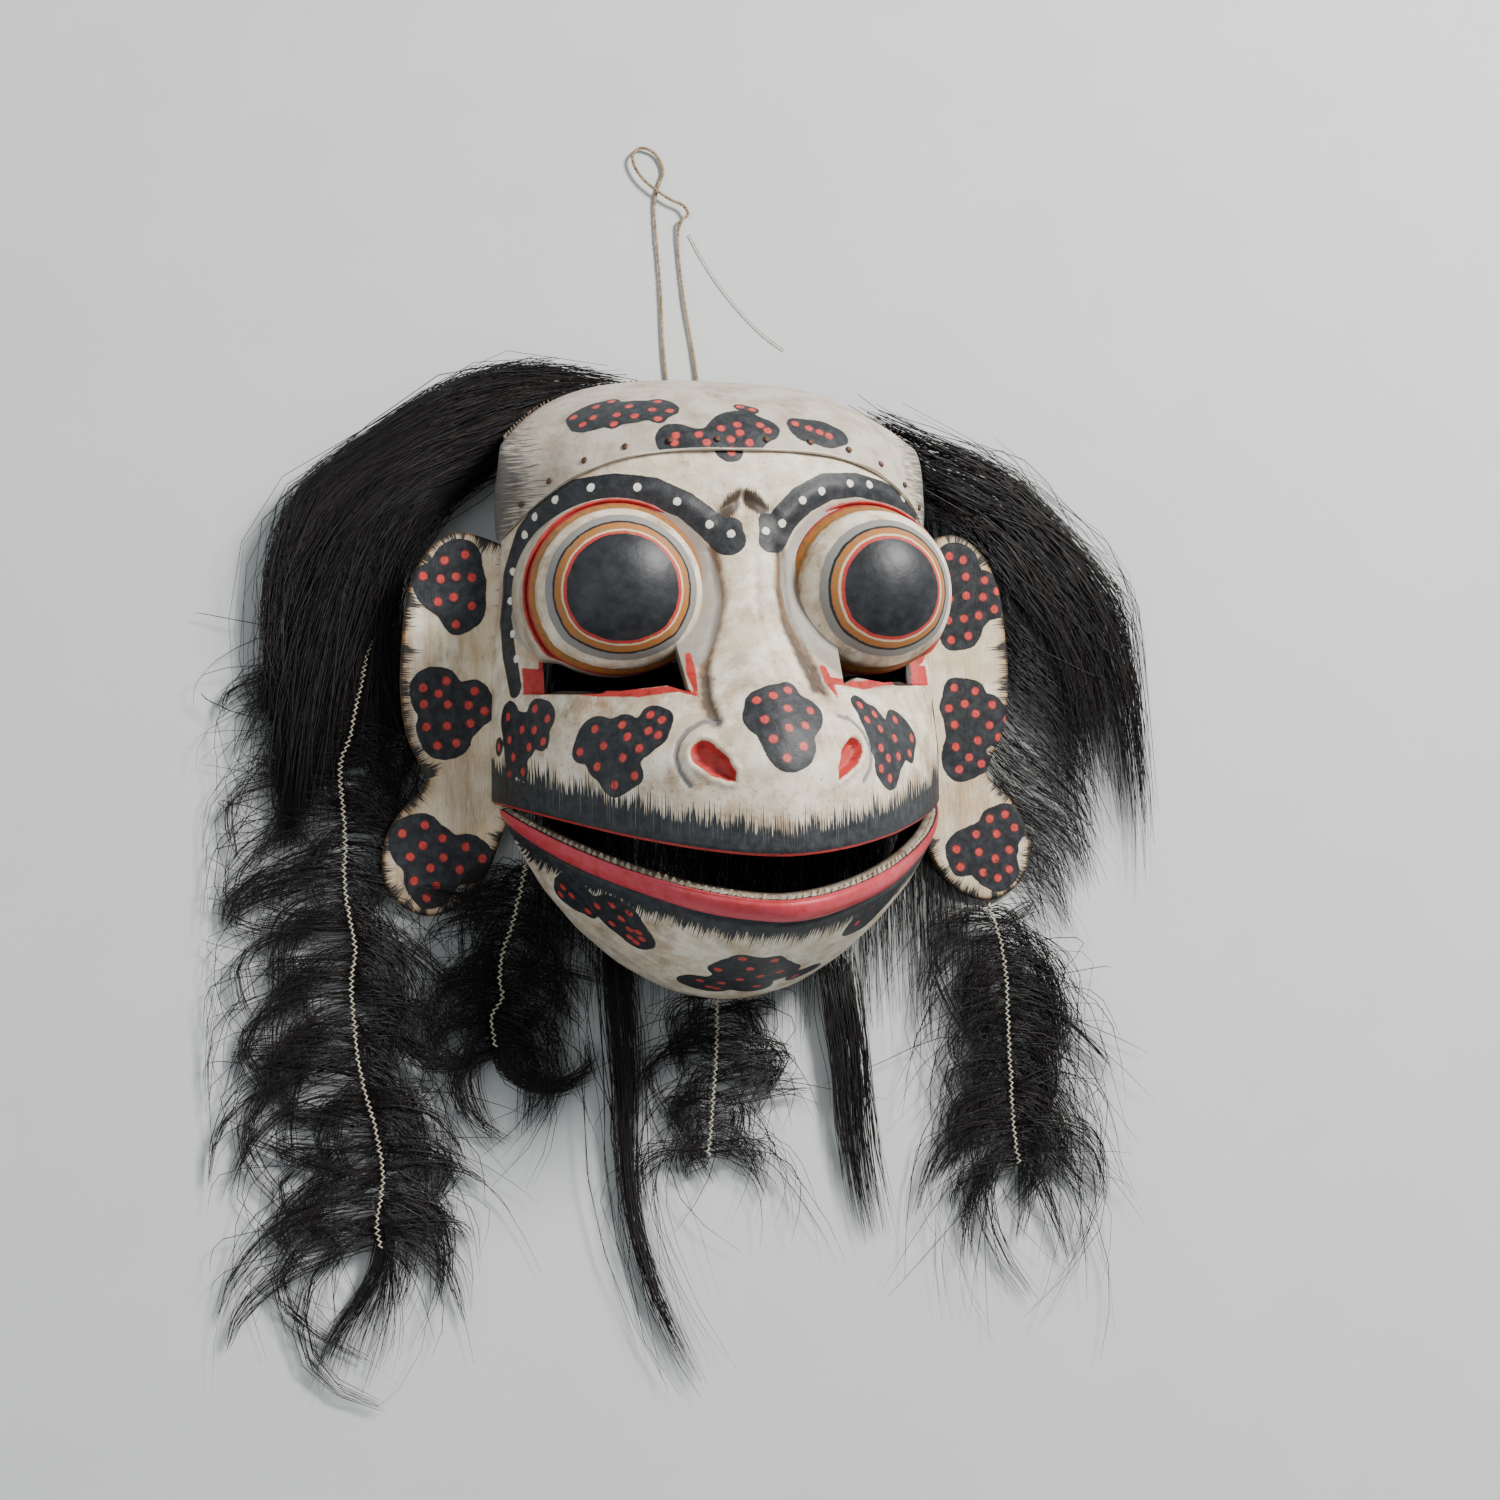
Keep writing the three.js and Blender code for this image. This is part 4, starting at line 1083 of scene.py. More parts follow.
for side, (ob, gap, run, front) in ears.items():
    here, skin = points_of(ob), skin_of(ob)
    split = np.full(len(here), FAR)
    if side > 0:
        crack = lines_on(skin, [(970.4, 892.4), (984.4, 874.2), (996, 860.9), (1014.2, 847.7)])[0]
        split = stroke(here, crack, [0.1, 0.35, 0.3, 0.1])
    note(ob, edge=gap, run=run, front=front, split=split)
    lay_marks(ob, skin, here, ear_spots[side], ear_dots[side])


# Finishes
def tone(red, green, blue):
    """Colour as seen, to the light it sends back."""
    return tuple(
        c / 12.92 if c <= 0.04045 else ((c + 0.055) / 1.055) ** 2.4 for c in (red, green, blue)
    ) + (1.0,)


BUMP = 0.3


class Wire:
    """Socket of a finish, with sums written as sums."""

    def __init__(self, finish, socket):
        self.finish, self.socket = finish, socket

    def math(self, how, *others, flip=False):
        items = [self, *others][::-1] if flip else [self, *others]
        return self.finish.node("ShaderNodeMath", {"operation": how}, dict(enumerate(items)))

    def __add__(self, other):
        return self.math("ADD", other)

    def __sub__(self, other):
        return self.math("SUBTRACT", other)

    def __mul__(self, other):
        return self.math("MULTIPLY", other)

    def __rsub__(self, other):
        return self.math("SUBTRACT", other, flip=True)

    __radd__, __rmul__ = __add__, __mul__

    def under(self, limit, soft=0.3):
        """1 where this is less than limit, 0 above it."""
        return self.finish.node("ShaderNodeMapRange", {"clamp": True}, {
            "Value": self, "From Min": limit - soft / 2, "From Max": limit + soft / 2,
            "To Min": 1.0, "To Max": 0.0,
        })

    def lower(self, other):
        return self.math("MINIMUM", other)

    def upper(self, other):
        return self.math("MAXIMUM", other)


class Finish:
    def __init__(self, name, rough=0.6, **fixed):
        self.material = bpy.data.materials.new(name)
        self.material.use_nodes = True
        self.tree = self.material.node_tree
        self.skin = self.tree.nodes["Principled BSDF"]
        self.skin.inputs["Roughness"].default_value = rough
        for key, value in fixed.items():
            self.skin.inputs[key.replace("_", " ")].default_value = value

    def node(self, kind, settings, inputs, out=0):
        n = self.tree.nodes.new(kind)
        for key, value in settings.items():
            setattr(n, key, value)
        for key, value in inputs.items():
            self.put(n.inputs[key], value)
        return Wire(self, n.outputs[out])

    def put(self, socket, value):
        if isinstance(value, Wire):
            self.tree.links.new(value.socket, socket)
        else:
            socket.default_value = value

    def field(self, name):
        return self.node("ShaderNodeAttribute", {"attribute_name": name}, {}, "Fac")

    def place(self, stretch=(1, 1, 1)):
        where = self.node("ShaderNodeTexCoord", {}, {}, "Object")
        return self.node("ShaderNodeVectorMath", {"operation": "MULTIPLY"}, {0: where, 1: stretch})

    def grain(self, size, detail=3.0, stretch=(1, 1, 1), rough=0.55, where=None):
        """Noise from -1 to 1 with bumps of this size in millimetres."""
        n = self.node("ShaderNodeTexNoise", {}, {
            "Vector": where or self.place(stretch), "Scale": 1000.0 / size, "Detail": detail, "Roughness": rough,
        })
        return (n - 0.5) * 2.0

    def streaks(self, across, pitch, along=None, length=30.0):
        """Noise that changes along one field only, for brush strokes."""
        where = self.node("ShaderNodeCombineXYZ", {}, {
            0: across * (1.0 / pitch), 1: (along if along is not None else across * 0.0) * (1.0 / length),
        })
        n = self.node("ShaderNodeTexNoise", {}, {"Vector": where, "Scale": 1.0, "Detail": 2.0})
        return (n - 0.5) * 2.0

    def mix(self, below, above, share):
        return self.node("ShaderNodeMix", {"data_type": "RGBA"}, {0: share, 6: below, 7: above}, 2)

    def set(self, name, value):
        self.put(self.skin.inputs[name], value)

    def bump(self, height):
        rough = {"Strength": 0.6, "Distance": BUMP * MM, "Height": height}
        self.set("Normal", self.node("ShaderNodeBump", {}, rough))

    def on(self, ob, slot):
        ob.data.materials.clear()
        ob.data.materials.append(self.material)


CREAM, PALE, STAIN = tone(0.87, 0.80, 0.69), tone(0.96, 0.92, 0.84), tone(0.60, 0.46, 0.33)
BLACK, SOFT_BLACK, WHITE = tone(0.12, 0.13, 0.145), tone(0.235, 0.245, 0.26), tone(0.93, 0.90, 0.85)
RED, LIP, OCHRE, GREY = tone(0.74, 0.22, 0.20), tone(0.80, 0.28, 0.34), tone(0.69, 0.43, 0.18), tone(0.55, 0.54, 0.52)
BARE = tone(0.66, 0.52, 0.36)


def ground(f, way=(1, 1, 1)):
    """Cream paint, worn and stained, over wood."""
    c = f.mix(CREAM, PALE, f.grain(9, 4).under(-0.02, 0.35))
    c = f.mix(c, STAIN, ((f.grain(24, 6, way, 0.72) + 0.04) * 2.1).upper(0.0).lower(0.8))
    c = f.mix(c, tone(0.70, 0.68, 0.64), ((f.grain(13, 5, way, 0.65) - 0.12) * 1.8).upper(0.0).lower(0.6))
    c = f.mix(c, tone(0.36, 0.25, 0.17), ((f.grain(2.2, 4, way, 0.78) - 0.16) * 2.6).upper(0.0).lower(0.75))
    c = f.mix(c, tone(0.97, 0.94, 0.88), ((f.grain(4.0, 5, way, 0.7) - 0.16) * 2.0).upper(0.0).lower(0.8))
    return f.mix(c, tone(0.50, 0.36, 0.25), ((f.grain(0.9, 4, way, 0.7) - 0.3) * 3.0).upper(0.0).lower(0.6))


def spots(f, c):
    """Charcoal spots with red dots on them, each with a thin darker edge."""
    edge = f.field("spot") + f.grain(3.0, 2) * 0.45 + f.grain(0.8, 1) * 0.12
    c = f.mix(c, BLACK, edge.under(0.0, 0.35))
    c = f.mix(c, charcoal(f), edge.under(-0.5, 0.4))
    dot = f.field("dots") + f.grain(2.0, 2) * 0.35
    c = f.mix(c, tone(0.42, 0.17, 0.16), dot.under(0.15, 0.3))
    return f.mix(c, f.mix(RED, tone(0.80, 0.32, 0.30), f.grain(1.5, 2).under(0.0, 0.6)), dot.under(-0.25, 0.3))


def charcoal(f):
    return f.mix(BLACK, SOFT_BLACK, f.grain(4, 5, rough=0.65).under(-0.12, 0.6))


def interior_wood_and_shade(f, c):
    """Bare wood over the inside, painted darker than the wood's own tone as painted shade inside the mask."""
    wood = f.mix(tone(0.20, 0.15, 0.11), tone(0.12, 0.09, 0.07), f.grain(8, 4, (1, 0.2, 1)).under(0.0, 0.5))
    return f.mix(c, wood, f.field("inside"))


def bristles(f):
    """Fine brush strokes of uneven length, side by side."""
    fine = f.streaks(f.field("along"), 0.42) + f.streaks(f.field("along"), 0.9) * 0.7
    return (fine + f.streaks(f.field("along"), 7.0) * 0.5 + 0.25).upper(0.0)


def face_finish():
    f = Finish("face_paint", 0.5, Specular_IOR_Level=0.4)
    c = ground(f)
    # darker brown along the nose's creases
    crease_darkening = (f.field("creases") + f.grain(5, 4) * 2.0).under(1.3, 2.4)
    c = f.mix(c, tone(0.24, 0.17, 0.12), crease_darkening * 0.9)
    c = f.mix(c, STAIN, (f.field("rims") + f.grain(6, 4) * 3.0).under(4.5, 3.0) * 0.35)
    c = f.mix(c, GREY, (f.field("rims") + f.grain(4, 3) * 0.8).under(1.6, 1.2) * 0.75)
    c = f.mix(c, GREY, (f.field("grooves") + f.grain(2, 2) * 0.3).under(0.0, 0.6))
    hatch = f.field("hatch") - f.streaks(f.field("along"), 0.5) * 2.4
    c = f.mix(c, tone(0.21, 0.14, 0.09), hatch.under(0.3, 1.2) * 0.95)
    c = spots(f, c)
    side = f.field("along").math("ABSOLUTE")
    c = f.mix(c, charcoal(f), (f.field("lip") - bristles(f) * 17.0).under(7.5 + side * 0.05, 1.2))
    worn = (f.streaks(f.field("along"), 0.38) - 0.18).upper(0.0) * 3.2
    band = (16.0 - f.field("lip")).under(11.0, 4.0) * f.field("lip").under(20.0, 4.0)
    c = f.mix(c, tone(0.62, 0.61, 0.58), worn.lower(0.7) * band)
    brow = f.field("brow") + f.grain(3, 2) * 0.35 + f.grain(0.8, 2) * 0.15
    c = f.mix(c, BLACK, brow.under(0.0, 0.3))
    c = f.mix(c, charcoal(f), brow.under(-0.5, 0.4))
    c = f.mix(c, WHITE, (f.field("brow_dots") + f.grain(1.5, 2) * 0.4).under(0.0, 0.3))
    red = f.mix(RED, tone(0.55, 0.15, 0.14), f.grain(4, 3).under(-0.2, 0.5))
    c = f.mix(c, red, (f.field("red") + f.grain(1.5, 2) * 0.4).under(0.0, 0.4))
    f.set("Base Color", interior_wood_and_shade(f, c))
    f.bump(f.grain(2.5, 5) * 0.5 + f.grain(0.5, 2) * 0.2)
    return f


def jaw_finish():
    f = Finish("jaw_paint", 0.5, Specular_IOR_Level=0.4)
    c = spots(f, ground(f))
    lip, wide = f.field("lip") + f.grain(3, 2) * 0.5, f.field("width")
    c = f.mix(c, charcoal(f), (lip - wide - bristles(f) * 17.0).under(6.5, 1.2))
    red = f.mix(LIP, RED, f.grain(5, 3).under(-0.1, 0.6))
    c = f.mix(c, red, (lip - wide).under(0.0, 0.5))
    f.set("Base Color", interior_wood_and_shade(f, c))
    f.set("Roughness", 0.5 - (lip - wide).under(0.0, 0.5) * 0.15)
    f.bump(f.grain(2.5, 5) * 0.5 + f.grain(0.5, 2) * 0.2)
    return f


def eye_finish(name, rings):
    """Painted rings from the middle of the eye outwards."""
    f = Finish(name, 0.5, Specular_IOR_Level=0.4)
    r = f.field("reach") + f.grain(5, 2) * 0.45 + f.grain(1.0, 2) * 0.15
    around = ground(f)
    pupil = f.mix(tone(0.10, 0.105, 0.12), tone(0.20, 0.21, 0.23), f.grain(6, 5).under(-0.1, 0.7))
    rubbed, chips = f.grain(2.4, 5, (1, 0.3, 1), 0.75), f.grain(0.9, 3, (1, 0.6, 1))
    pupil = f.mix(pupil, tone(0.36, 0.37, 0.39), ((rubbed - 0.3) * 1.6).upper(0.0).lower(0.5))
    pupil = f.mix(pupil, tone(0.85, 0.84, 0.82), ((chips - 0.56) * 9.0).upper(0.0).lower(1.0))
    layers = [
        pupil, f.mix(RED, OCHRE, f.grain(3, 2).under(-0.3, 0.3)), tone(0.86, 0.79, 0.66),
        f.mix(OCHRE, STAIN, f.grain(2, 4).under(-0.1, 0.4)),
        BLACK, GREY, around, f.mix(OCHRE, tone(0.52, 0.38, 0.22), f.grain(3, 3).under(0.0, 0.6)),
    ]
    c = f.mix(RED, tone(0.60, 0.20, 0.18), f.grain(3, 3).under(0.0, 0.6))
    for paint, limit in list(zip(layers, rings))[::-1]:
        c = f.mix(c, paint, r.under(limit, 0.35))
    c = f.mix(c, f.mix(around, GREY, 0.3), (0.0 - r).under(-(EYE_R + 1.9), 0.5))
    f.set("Base Color", c)
    f.set("Roughness", 0.55 - r.under(rings[0], 0.4) * 0.1)
    f.bump(f.grain(3, 5) * 0.4)
    return f


def hide_finish():
    f = Finish("hide", 0.55, Specular_IOR_Level=0.35)
    side = f.field("along").math("ABSOLUTE")
    c = f.mix(tone(0.80, 0.76, 0.70), tone(0.68, 0.62, 0.55), f.grain(14, 4).under(-0.05, 0.5))
    c = f.mix(c, tone(0.55, 0.44, 0.34), (f.grain(7, 5, (1, 0.5, 1)) - 0.1).upper(0.0) * 1.5)
    fuzz = side + f.streaks(f.field("up"), 0.6, f.field("along"), 9.0) * 26.0
    c = f.mix(c, SOFT_BLACK, (90.0 - fuzz).under(8.0, 6.0) * 0.8)
    c = spots(f, c)
    c = interior_wood_and_shade(f, c)
    c = f.mix(c, tone(0.88, 0.85, 0.78), (f.field("seam") + f.grain(1.4, 2) * 0.3).under(1.1, 0.5) * 0.8)
    f.set("Base Color", c)
    f.bump(f.grain(3, 6) + f.grain(0.7, 3) * 0.4)
    return f


def ear_finish():
    f = Finish("ear_paint", 0.6, Specular_IOR_Level=0.3)
    c = ground(f, (1.8, 0.22, 1))
    c = f.mix(c, tone(0.84, 0.73, 0.55), (f.grain(18, 4, (1.8, 0.3, 1)) + 0.25).upper(0.0).lower(0.6))
    edge = f.field("edge")
    c = f.mix(c, STAIN, (edge + f.grain(9, 4) * 5.0).under(2.5, 4.0) * 0.55)
    rim_paint = f.mix(tone(0.66, 0.49, 0.24), tone(0.40, 0.29, 0.18), f.grain(4, 4).under(0.0, 0.5))
    c = f.mix(c, rim_paint, (edge + f.grain(3, 3) * 0.8).under(0.8, 1.0))
    grouped = f.streaks(f.field("run"), 7.0) * 2.2
    tufts = (f.streaks(f.field("run"), 0.45) * 2.0 + grouped + 0.4).upper(0.0)
    c = f.mix(c, BLACK, (edge - tufts * 6.5).under(-0.4, 0.5) * 0.95)
    c = spots(f, c)
    c = f.mix(c, tone(0.16, 0.11, 0.08), f.field("split").under(0.0, 0.25))
    f.set("Base Color", f.mix(BARE, c, f.field("front")))
    f.bump(f.grain(1.5, 4, (2, 0.15, 1)) + f.grain(0.6, 2) * 0.2)
    return f


def plain_finish(name, first, second, size, rough=0.7, metal=0.0, **fixed):
    f = Finish(name, rough, Metallic=metal, **fixed)
    f.set("Base Color", f.mix(first, second, f.grain(size, 4).under(0.0, 0.6)))
    f.bump(f.grain(size / 2, 3) * 0.5)
    return f


finishes = {"face": face_finish(), "jaw": jaw_finish(), "hide": hide_finish(), "ear": ear_finish()}
tooth_finish = plain_finish("teeth_paint", tone(0.74, 0.69, 0.60), tone(0.52, 0.45, 0.37), 3)
iron = plain_finish("nail_iron", tone(0.32, 0.27, 0.24), tone(0.42, 0.28, 0.20), 1.2, 0.6, 0.7)
twine = plain_finish("twine", tone(0.72, 0.63, 0.50), tone(0.50, 0.41, 0.31), 2.0, 0.85)
rope_finish = plain_finish("rope_fibre", tone(0.50, 0.42, 0.34), tone(0.25, 0.20, 0.17), 2.5, 0.85)
pale_twine = plain_finish("pale_thread", tone(0.80, 0.76, 0.68), tone(0.62, 0.57, 0.49), 2.0, 0.85)
hair_finish = Finish("horsehair", 0.45, Specular_IOR_Level=0.28)
hair_finish.set("Base Color", hair_finish.mix(
    tone(0.075, 0.07, 0.078), tone(0.19, 0.16, 0.15), hair_finish.field("shade"),
))

finishes["face"].on(face, "face_paint")
for side in (-1, 1):
    painted = eye_finish(f"eye_paint_{SIDE_NAMES[side]}", EYES[side]["rings"])
    painted.on(EYES[side]["ball"], "face_paint")
finishes["jaw"].on(jaw, "jaw_paint")
tooth_finish.on(teeth, "jaw_paint")
finishes["hide"].on(hide, "painted_hide")
rope_finish.on(rope, "twine")
for ob in nails:
    iron.on(ob, "nail_iron")
for side in (-1, 1):
    finishes["ear"].on(ears[side][0], "ear_paint")
twine.on(cord, "hanging_twine")
pale_twine.on(thread, "pale_thread")

for ob in [face, EYES[-1]["ball"], EYES[1]["ball"], hide, rope, ears[-1][0], ears[1][0], *nails]:
    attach(ob, "mask")
for ob in (jaw, teeth):
    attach(ob, "jaw")
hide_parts("face_shell")
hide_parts("lower_jaw")
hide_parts("crown_hide")
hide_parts("edge_cord")
for i, ob in enumerate(nails):
    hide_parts(f"nail_{i + 1:02d}")
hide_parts("ear_left")
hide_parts("ear_right")
for ob in (face, jaw, hide):
    ob.data.set_sharp_from_angle(angle=math.radians(50))

# Horsehair
STATIONS = 7


def evened(route, count):
    """Smooth curve through a route, with evenly spaced stations."""
    path = smooth_path(route, 8)
    run = walked(path)
    return along(np.linspace(0, run[-1], count), run, path)


def guide(points, heights):
    """Line of hair through picture points at given heights over the floor."""
    z = np.interp(np.linspace(0, 1, len(points)), np.linspace(0, 1, len(heights)), heights)
    return evened([lying(u, v, h) for (u, v), h in zip(points, z)], 60)


def between(guides, g):
    i = np.clip(g.astype(int), 0, len(guides) - 2)
    part = np.clip(g - i, 0, 1)[:, None, None]
    return guides[i] * (1 - part) + guides[i + 1] * part


def sheet(guides, count, scatter, lift, start=0.25, end=0.3, tight=0.85):
    """Hairs that run between neighbouring guides, in loose clumps."""
    guides = np.array(guides)
    g = chance.uniform(0, 1, count) * (len(guides) - 1)
    clump = np.round(g * 6 + 0.4 * np.sin(g * 40)) / 6
    near_line, far_line = between(guides, g), between(guides, g + tight * (clump - g))
    s = np.linspace(0, 1, 60)[None, :, None]
    lines = near_line * (1 - s) + far_line * s
    t0, t1 = chance.uniform(0, start, count), 1 - 0.92 * end * chance.uniform(0, 1, count) ** 1.3
    t = (t0[:, None] + (t1 - t0)[:, None] * np.linspace(0, 1, STATIONS)) * 59
    k = np.clip(t.astype(int), 0, 58)
    part = (t - k)[..., None]
    rows = np.arange(count)[:, None]
    path = lines[rows, k] * (1 - part) + lines[rows, k + 1] * part
    return path + wander(count, scatter, lift)


def wander(count, scatter, lift):
    s = np.linspace(0, 1, STATIONS)[None, :]
    off = np.zeros((count, STATIONS, 3))
    for axis in range(2):
        a, b, c = chance.normal(0, 1, (3, count, 1))
        off[..., axis] = scatter * (0.5 * a + 0.8 * b * s + 0.5 * c * np.sin(s * 5 + a * 3))
    off[..., 2] = chance.uniform(0, 1, (count, 1)) * lift * (1 - 0.3 * s)
    return off


def weft(spine, count, left, right, fall, lift, each=18):
    """Curved locks sewn to a spine that spread to both sides and turn down."""
    locks = count // each
    at = (np.arange(locks) + chance.uniform(0, 1, locks)) / locks
    k = np.clip((at * 59).astype(int), 0, 58)
    root = spine[k] + (spine[k + 1] - spine[k]) * (at * 59 - k)[:, None]
    way = np.where(np.arange(locks) % 2 == 0, -1.0, 1.0)
    reach = np.where(way < 0, left, right) * chance.uniform(0.35, 1.25, locks)
    down = chance.uniform(0.08, 1.35, locks) * fall
    bend = chance.uniform(1.4, 3.0, locks)
    curl = chance.uniform(-0.3, 0.8, locks) * reach
    s = np.linspace(0, 1, STATIONS)[None, :]
    out = (1 - (1 - s) ** bend[:, None]) * reach[:, None]
    out = (out - curl[:, None] * np.maximum(s - 0.55, 0) ** 1.5 * 3) * way[:, None]
    drop = s ** 1.6 * down[:, None] - 3.0 * s * (1 - s) * chance.uniform(0, 6, (locks, 1))
    turn = chance.normal(0, 0.28, (locks, 1)) * (0.4 + 0.6 * s)
    out, drop = out * np.cos(turn) - drop * np.sin(turn), out * np.sin(turn) + drop * np.cos(turn)
    path = np.stack([root[:, 0:1] + out, root[:, 1:2] - drop, root[:, 2:3] * (1 - 0.6 * s) + 0 * out], -1)
    path = np.repeat(path, each, axis=0)
    wide = 0.5 + 1.7 * np.sin(np.pi * s[0] ** 0.7) + 0.5 * s[0]
    path[..., :2] += chance.normal(0, 1, (len(path), 1, 2)) * wide[None, :, None]
    return path + wander(len(path), 1.5, lift)


HAIR_SIDE, HAIR_DOWN = 205, 226


def held(x, limit):
    """Values that ease off as they come near a limit."""
    over = np.maximum(x - (limit - 18), 0)
    return np.where(over > 0, limit - 18 + 18 * np.tanh(over / 18), x)


def hair_piece(name, node, groups, thick=0.2):
    """Hairs as thin closed tapering rods of three sides."""
    path = np.concatenate(groups)
    path[..., 2] = np.maximum(path[..., 2], 0.35)
    path[..., 0] = held(path[..., 0], HAIR_SIDE)
    path[..., 0] = -held(-path[..., 0], HAIR_SIDE)
    path[..., 1] = -held(-path[..., 1], HAIR_DOWN)
    count = len(path)
    t = np.gradient(path, axis=1)
    t /= np.maximum(np.linalg.norm(t, axis=-1, keepdims=True), 1e-9)
    side = np.cross(t, [0.0, 0.0, 1.0])
    side /= np.maximum(np.linalg.norm(side, axis=-1, keepdims=True), 1e-6)
    up = np.cross(side, t)
    radius = thick * chance.uniform(0.5, 1.2, (count, 1)) * np.array([0.8, 1, 1, 1, 0.9, 0.7, 0.25])
    a = 2 * np.pi * np.arange(3) / 3
    ring = np.cos(a)[:, None] * side[:, :, None] + np.sin(a)[:, None] * up[:, :, None]
    points = (path[:, :, None] + radius[..., None, None] * ring).reshape(-1, 3)
    one = grid_quads(STATIONS, 3, closed=True)
    ends = np.array([[0, 2, 1], [STATIONS * 3 - 3, STATIONS * 3 - 2, STATIONS * 3 - 1]])
    step = (np.arange(count) * STATIONS * 3)[:, None, None]
    ob = mesh_piece(name, points, [(one + step).reshape(-1, 4), (ends + step).reshape(-1, 3)], in_face=False)
    note(ob, shade=np.repeat(chance.uniform(0, 1, count) ** 3, STATIONS * 3))
    hair_finish.on(ob, "horsehair")
    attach(ob, "mask")
    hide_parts(node)


crown_left = [
    guide([
        (640, 388), (560, 365), (470, 372), (395, 420), (330, 460),
        (285, 500), (270, 560), (265, 620), (275, 700), (300, 760),
    ], [16, 14, 12, 8, 4]),
    guide([
        (600, 395), (540, 400), (470, 425), (400, 460), (350, 500),
        (310, 560), (290, 620), (285, 700), (295, 780),
    ], [18, 15, 12, 8, 4]),
    guide([
        (560, 410), (500, 440), (440, 465), (380, 500), (340, 560),
        (318, 640), (302, 720), (290, 800), (282, 870),
    ], [18, 15, 12, 7, 3]),
    guide([
        (520, 440), (480, 470), (430, 490), (390, 530),
        (362, 590), (340, 650), (325, 720), (315, 790),
    ], [16, 14, 11, 7, 3]),
    guide([
        (500, 462), (470, 490), (440, 510), (415, 540),
        (400, 580), (392, 620), (396, 680), (402, 740),
    ], [14, 14, 10, 6, 3]),
]
crown_right = [
    guide([
        (860, 413), (910, 435), (960, 451), (1003, 476), (1046, 519),
        (1092, 566), (1122, 599), (1130, 632), (1125, 679), (1135, 738),
    ], [16, 14, 10, 6, 3]),
    guide([
        (870, 430), (926, 480), (1026, 523), (1066, 566), (1099, 612),
        (1119, 662), (1129, 712), (1146, 800), (1145, 885),
    ], [16, 14, 10, 6, 3]),
    guide([
        (900, 480), (960, 500), (1019, 560), (1059, 605),
        (1086, 655), (1100, 720), (1110, 790),
    ], [14, 12, 10, 6, 3]),
    guide([
        (930, 520), (975, 540), (1019, 596), (1045, 640),
        (1066, 690), (1078, 745), (1092, 800),
    ], [12, 12, 8, 6, 3]),
]
spine_left = guide([
    (382, 629), (369, 649), (356, 705), (349, 738), (339, 768), (341, 805), (344, 843), (343, 889), (348, 919),
    (354, 954), (350, 981), (352, 1019), (360, 1080), (371, 1118), (379, 1157), (381, 1187), (375, 1226), (379, 1249),
], [6, 5, 5, 5, 5])
spine_inner = guide([
    (524, 866), (517, 900), (509, 931), (501, 954),
    (498, 981), (500, 1000), (490, 1019), (494, 1050),
], [12, 8, 6])
spine_centre = guide([(715, 985), (714, 1040), (712, 1080), (705, 1160)], [10, 7, 5])
spine_right = guide([(985, 905), (1000, 960), (1005, 1040), (1010, 1130), (1015, 1165)], [9, 7, 5])
tail_left = [
    guide([(381, 1200), (375, 1250), (358, 1300), (330, 1345), (305, 1400)], [5, 3]),
    guide([(381, 1200), (385, 1256), (364, 1295), (337, 1333), (322, 1386)], [5, 3]),
    guide([(381, 1200), (395, 1260), (400, 1310), (395, 1360), (380, 1400)], [5, 3]),
]
curls = [
    guide([
        (505, 990), (493, 1040), (500, 1072), (528, 1090),
        (562, 1092), (590, 1078), (597, 1052), (585, 1030),
    ], [6, 4]),
    guide([
        (512, 990), (505, 1035), (512, 1062), (534, 1078),
        (560, 1080), (580, 1068), (584, 1048), (572, 1034),
    ], [6, 4]),
]
long_strays = [
    guide([(395, 1040), (425, 1072), (463, 1069), (494, 1053), (540, 1010), (560, 960)], [6, 4]),
    guide([(400, 1030), (430, 1060), (463, 1060), (500, 1045), (550, 1000), (575, 950)], [6, 4]),
]
tuft_left = [
    guide([(600, 930), (606, 1010), (614, 1080), (622, 1190), (646, 1290), (696, 1392)], [8, 3]),
    guide([(625, 930), (633, 1010), (636, 1080), (634, 1190), (656, 1280), (706, 1384)], [8, 3]),
]
tuft_right = [
    guide([(815, 950), (830, 1050), (840, 1150), (860, 1240)], [8, 3]),
    guide([(850, 950), (865, 1050), (875, 1150), (890, 1240)], [8, 3]),
]
behind = [
    guide([(570, 470), (555, 640), (545, 800), (535, 1000)], [4, 3, 2]),
    guide([(650, 430), (640, 640), (630, 800), (620, 1010)], [4, 3, 2]),
    guide([(745, 430), (740, 640), (735, 820), (730, 1040)], [4, 3, 2]),
    guide([(840, 440), (845, 640), (845, 820), (850, 1030)], [4, 3, 2]),
    guide([(940, 500), (950, 640), (960, 800), (975, 1000)], [4, 3, 2]),
]
ear_right = [
    guide([(990, 540), (1019, 576), (1059, 615), (1086, 655), (1100, 700)], [12, 8, 4]),
    guide([(990, 600), (1016, 639), (1055, 668), (1085, 705), (1092, 755)], [10, 7, 4]),
    guide([(990, 640), (1013, 669), (1045, 700), (1072, 745), (1082, 810)], [8, 6, 4]),
    guide([(985, 720), (1006, 748), (1046, 775), (1080, 805), (1098, 860)], [5, 4, 3]),
    guide([(980, 780), (1000, 800), (1030, 822), (1059, 845), (1080, 900)], [3, 3, 2]),
    guide([(970, 840), (990, 855), (1020, 875), (1045, 905), (1060, 960)], [2, 2, 2]),
]
fine = 1
hair_piece("crown_hair_left", "hair_crown_left", [
    sheet(crown_left, 2500 // fine, 2.0, 6), sheet(crown_left, 450 // fine, 7.0, 8, 0.3, 0.1, 0.4),
    sheet(crown_left, 60 // fine, 8.0, 8, 0.3, 0.2, 0.2),
])
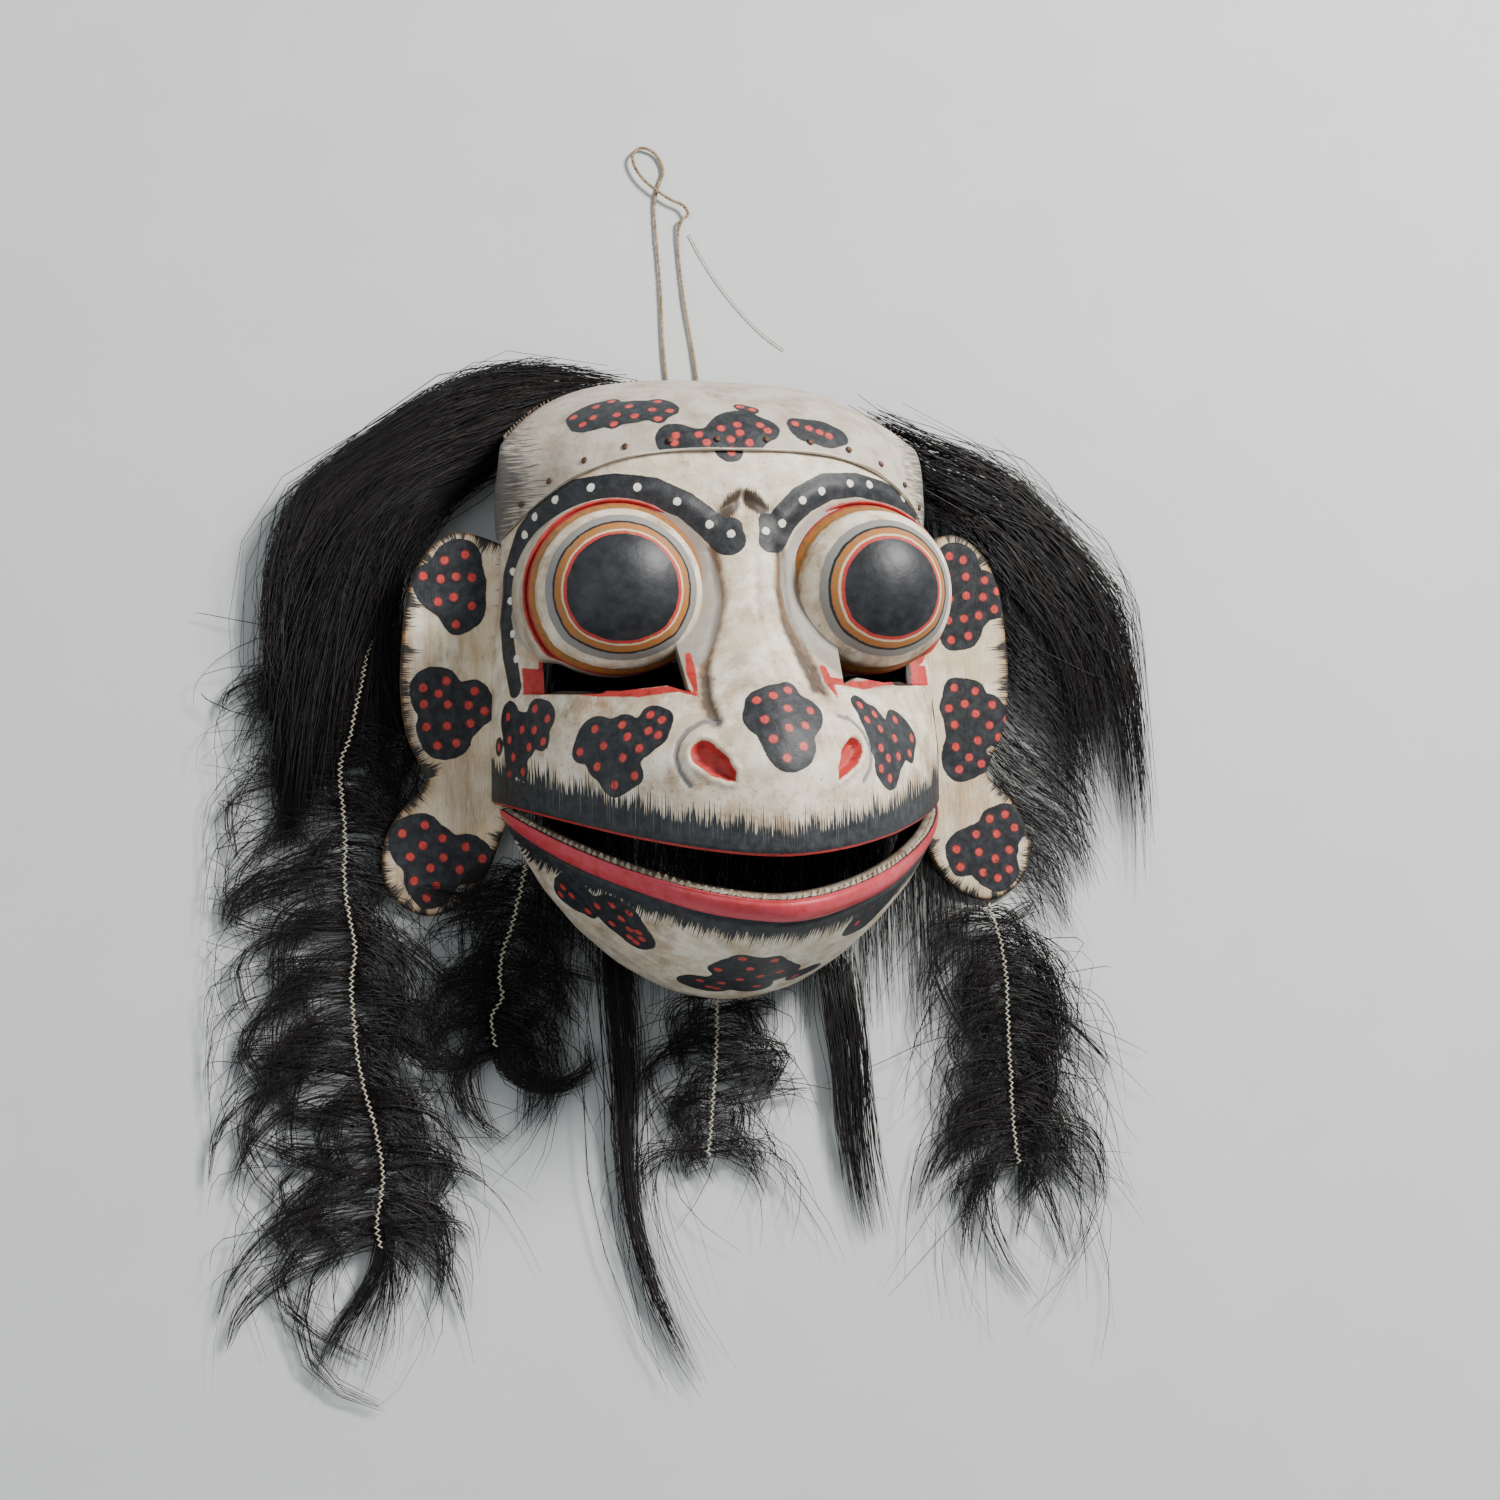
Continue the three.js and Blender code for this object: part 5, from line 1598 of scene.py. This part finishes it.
hair_piece("crown_hair_right", "hair_crown_right", [
    sheet(crown_right, 560 // fine, 3.0, 6, 0.2, 1.0, 0.95), sheet(crown_right, 420 // fine, 9.0, 8, 0.3, 0.6, 0.5),
    sheet(ear_right, 560 // fine, 5.0, 3, 0.2, 0.5, 0.7),
])
hair_piece("long_weft_left", "hair_fall_left", [
    weft(spine_left, 2500 // fine, 46, 28, 38, 4), weft(spine_left, 420 // fine, 60, 38, 54, 4, 1),
    sheet(tail_left, 110 // fine, 2.0, 3, 0.1, 0.5),
])
hair_piece("inner_weft_left", "hair_fall_inner_left", [
    weft(spine_inner, 850 // fine, 26, 26, 32, 5), weft(spine_inner, 150 // fine, 34, 34, 50, 5, 1),
    sheet(behind[:2], 450 // fine, 6, 3), sheet(curls, 110 // fine, 1.5, 3, 0.1, 0.5),
    sheet(long_strays, 40 // fine, 2.0, 3, 0.1, 0.3),
])
hair_piece("centre_weft", "hair_fall_centre", [
    weft(spine_centre, 560 // fine, 26, 28, 24, 5), weft(spine_centre, 120 // fine, 34, 34, 46, 5, 1),
    sheet(behind[1:4], 800 // fine, 8, 3),
])
hair_piece("right_weft", "hair_fall_right", [
    weft(spine_right, 1150 // fine, 28, 30, 42, 5), weft(spine_right, 260 // fine, 36, 42, 62, 5, 1),
    sheet(behind[3:], 450 // fine, 6, 3),
])
hair_piece("thin_tuft_left", "hair_tuft_left", [
    sheet(tuft_left, 190 // fine, 1.8, 3, 0.1, 1.0, 0.95), sheet(tuft_left, 25 // fine, 8.0, 3, 0.1, 0.1),
])
hair_piece("thin_tuft_right", "hair_tuft_right", [sheet(tuft_right, 260 // fine, 2.5, 3, 0.1, 0.8, 0.95)])


def stitched(spine, low=4.5):
    """Pale thread that runs in short zigzags down a weft."""
    run = walked(spine)
    at = np.arange(0, run[-1], 1.15)
    line = along(at, run, spine)
    line[:, 0] += np.where(np.arange(len(at)) % 2 == 0, 0.75, -0.75) * chance.uniform(0.5, 1.3, len(at))
    line[:, 2] += low + chance.uniform(0, 0.7, len(at))
    return tube(line, STRAND, 5)


seams = joined([stitched(spine) for spine in (spine_left, spine_inner, spine_centre, spine_right)])
stitching = mesh_piece("weft_stitching", *seams, in_face=False)
pale_twine.on(stitching, "pale_thread")
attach(stitching, "mask")

# Floor and light
bpy.ops.mesh.primitive_plane_add(size=9)
floor = bpy.context.active_object
floor.name = "pale_floor"
paper = Finish("floor_paper", 0.9, Specular_IOR_Level=0.1)
paper.set("Base Color", paper.mix(tone(0.805, 0.82, 0.815), tone(0.79, 0.805, 0.80), paper.grain(40, 3).under(0.0, 1.0)))
floor.data.materials.append(paper.material)


def lamp(name, place, size, power, colour, aim=(0, 0, 0)):
    data = bpy.data.lights.new(name, "AREA")
    data.shape, data.size, data.energy, data.color = "DISK", size, power, colour
    ob = bpy.data.objects.new(name, data)
    ob.location = place
    ob.rotation_euler = (Vector(aim) - Vector(place)).to_track_quat("-Z", "Y").to_euler()
    bpy.context.scene.collection.objects.link(ob)


lamp("key", (1.0, 0.9, 1.35), 0.55, 66, (1.0, 0.98, 0.945))
lamp("fill", (-1.3, -0.2, 1.5), 1.6, 8, (0.93, 0.97, 1.0))
world = bpy.data.worlds.new("room")
world.use_nodes = True
world.node_tree.nodes["Background"].inputs[0].default_value = (0.80, 0.84, 0.88, 1)
world.node_tree.nodes["Background"].inputs[1].default_value = 0.43
bpy.context.scene.world = world
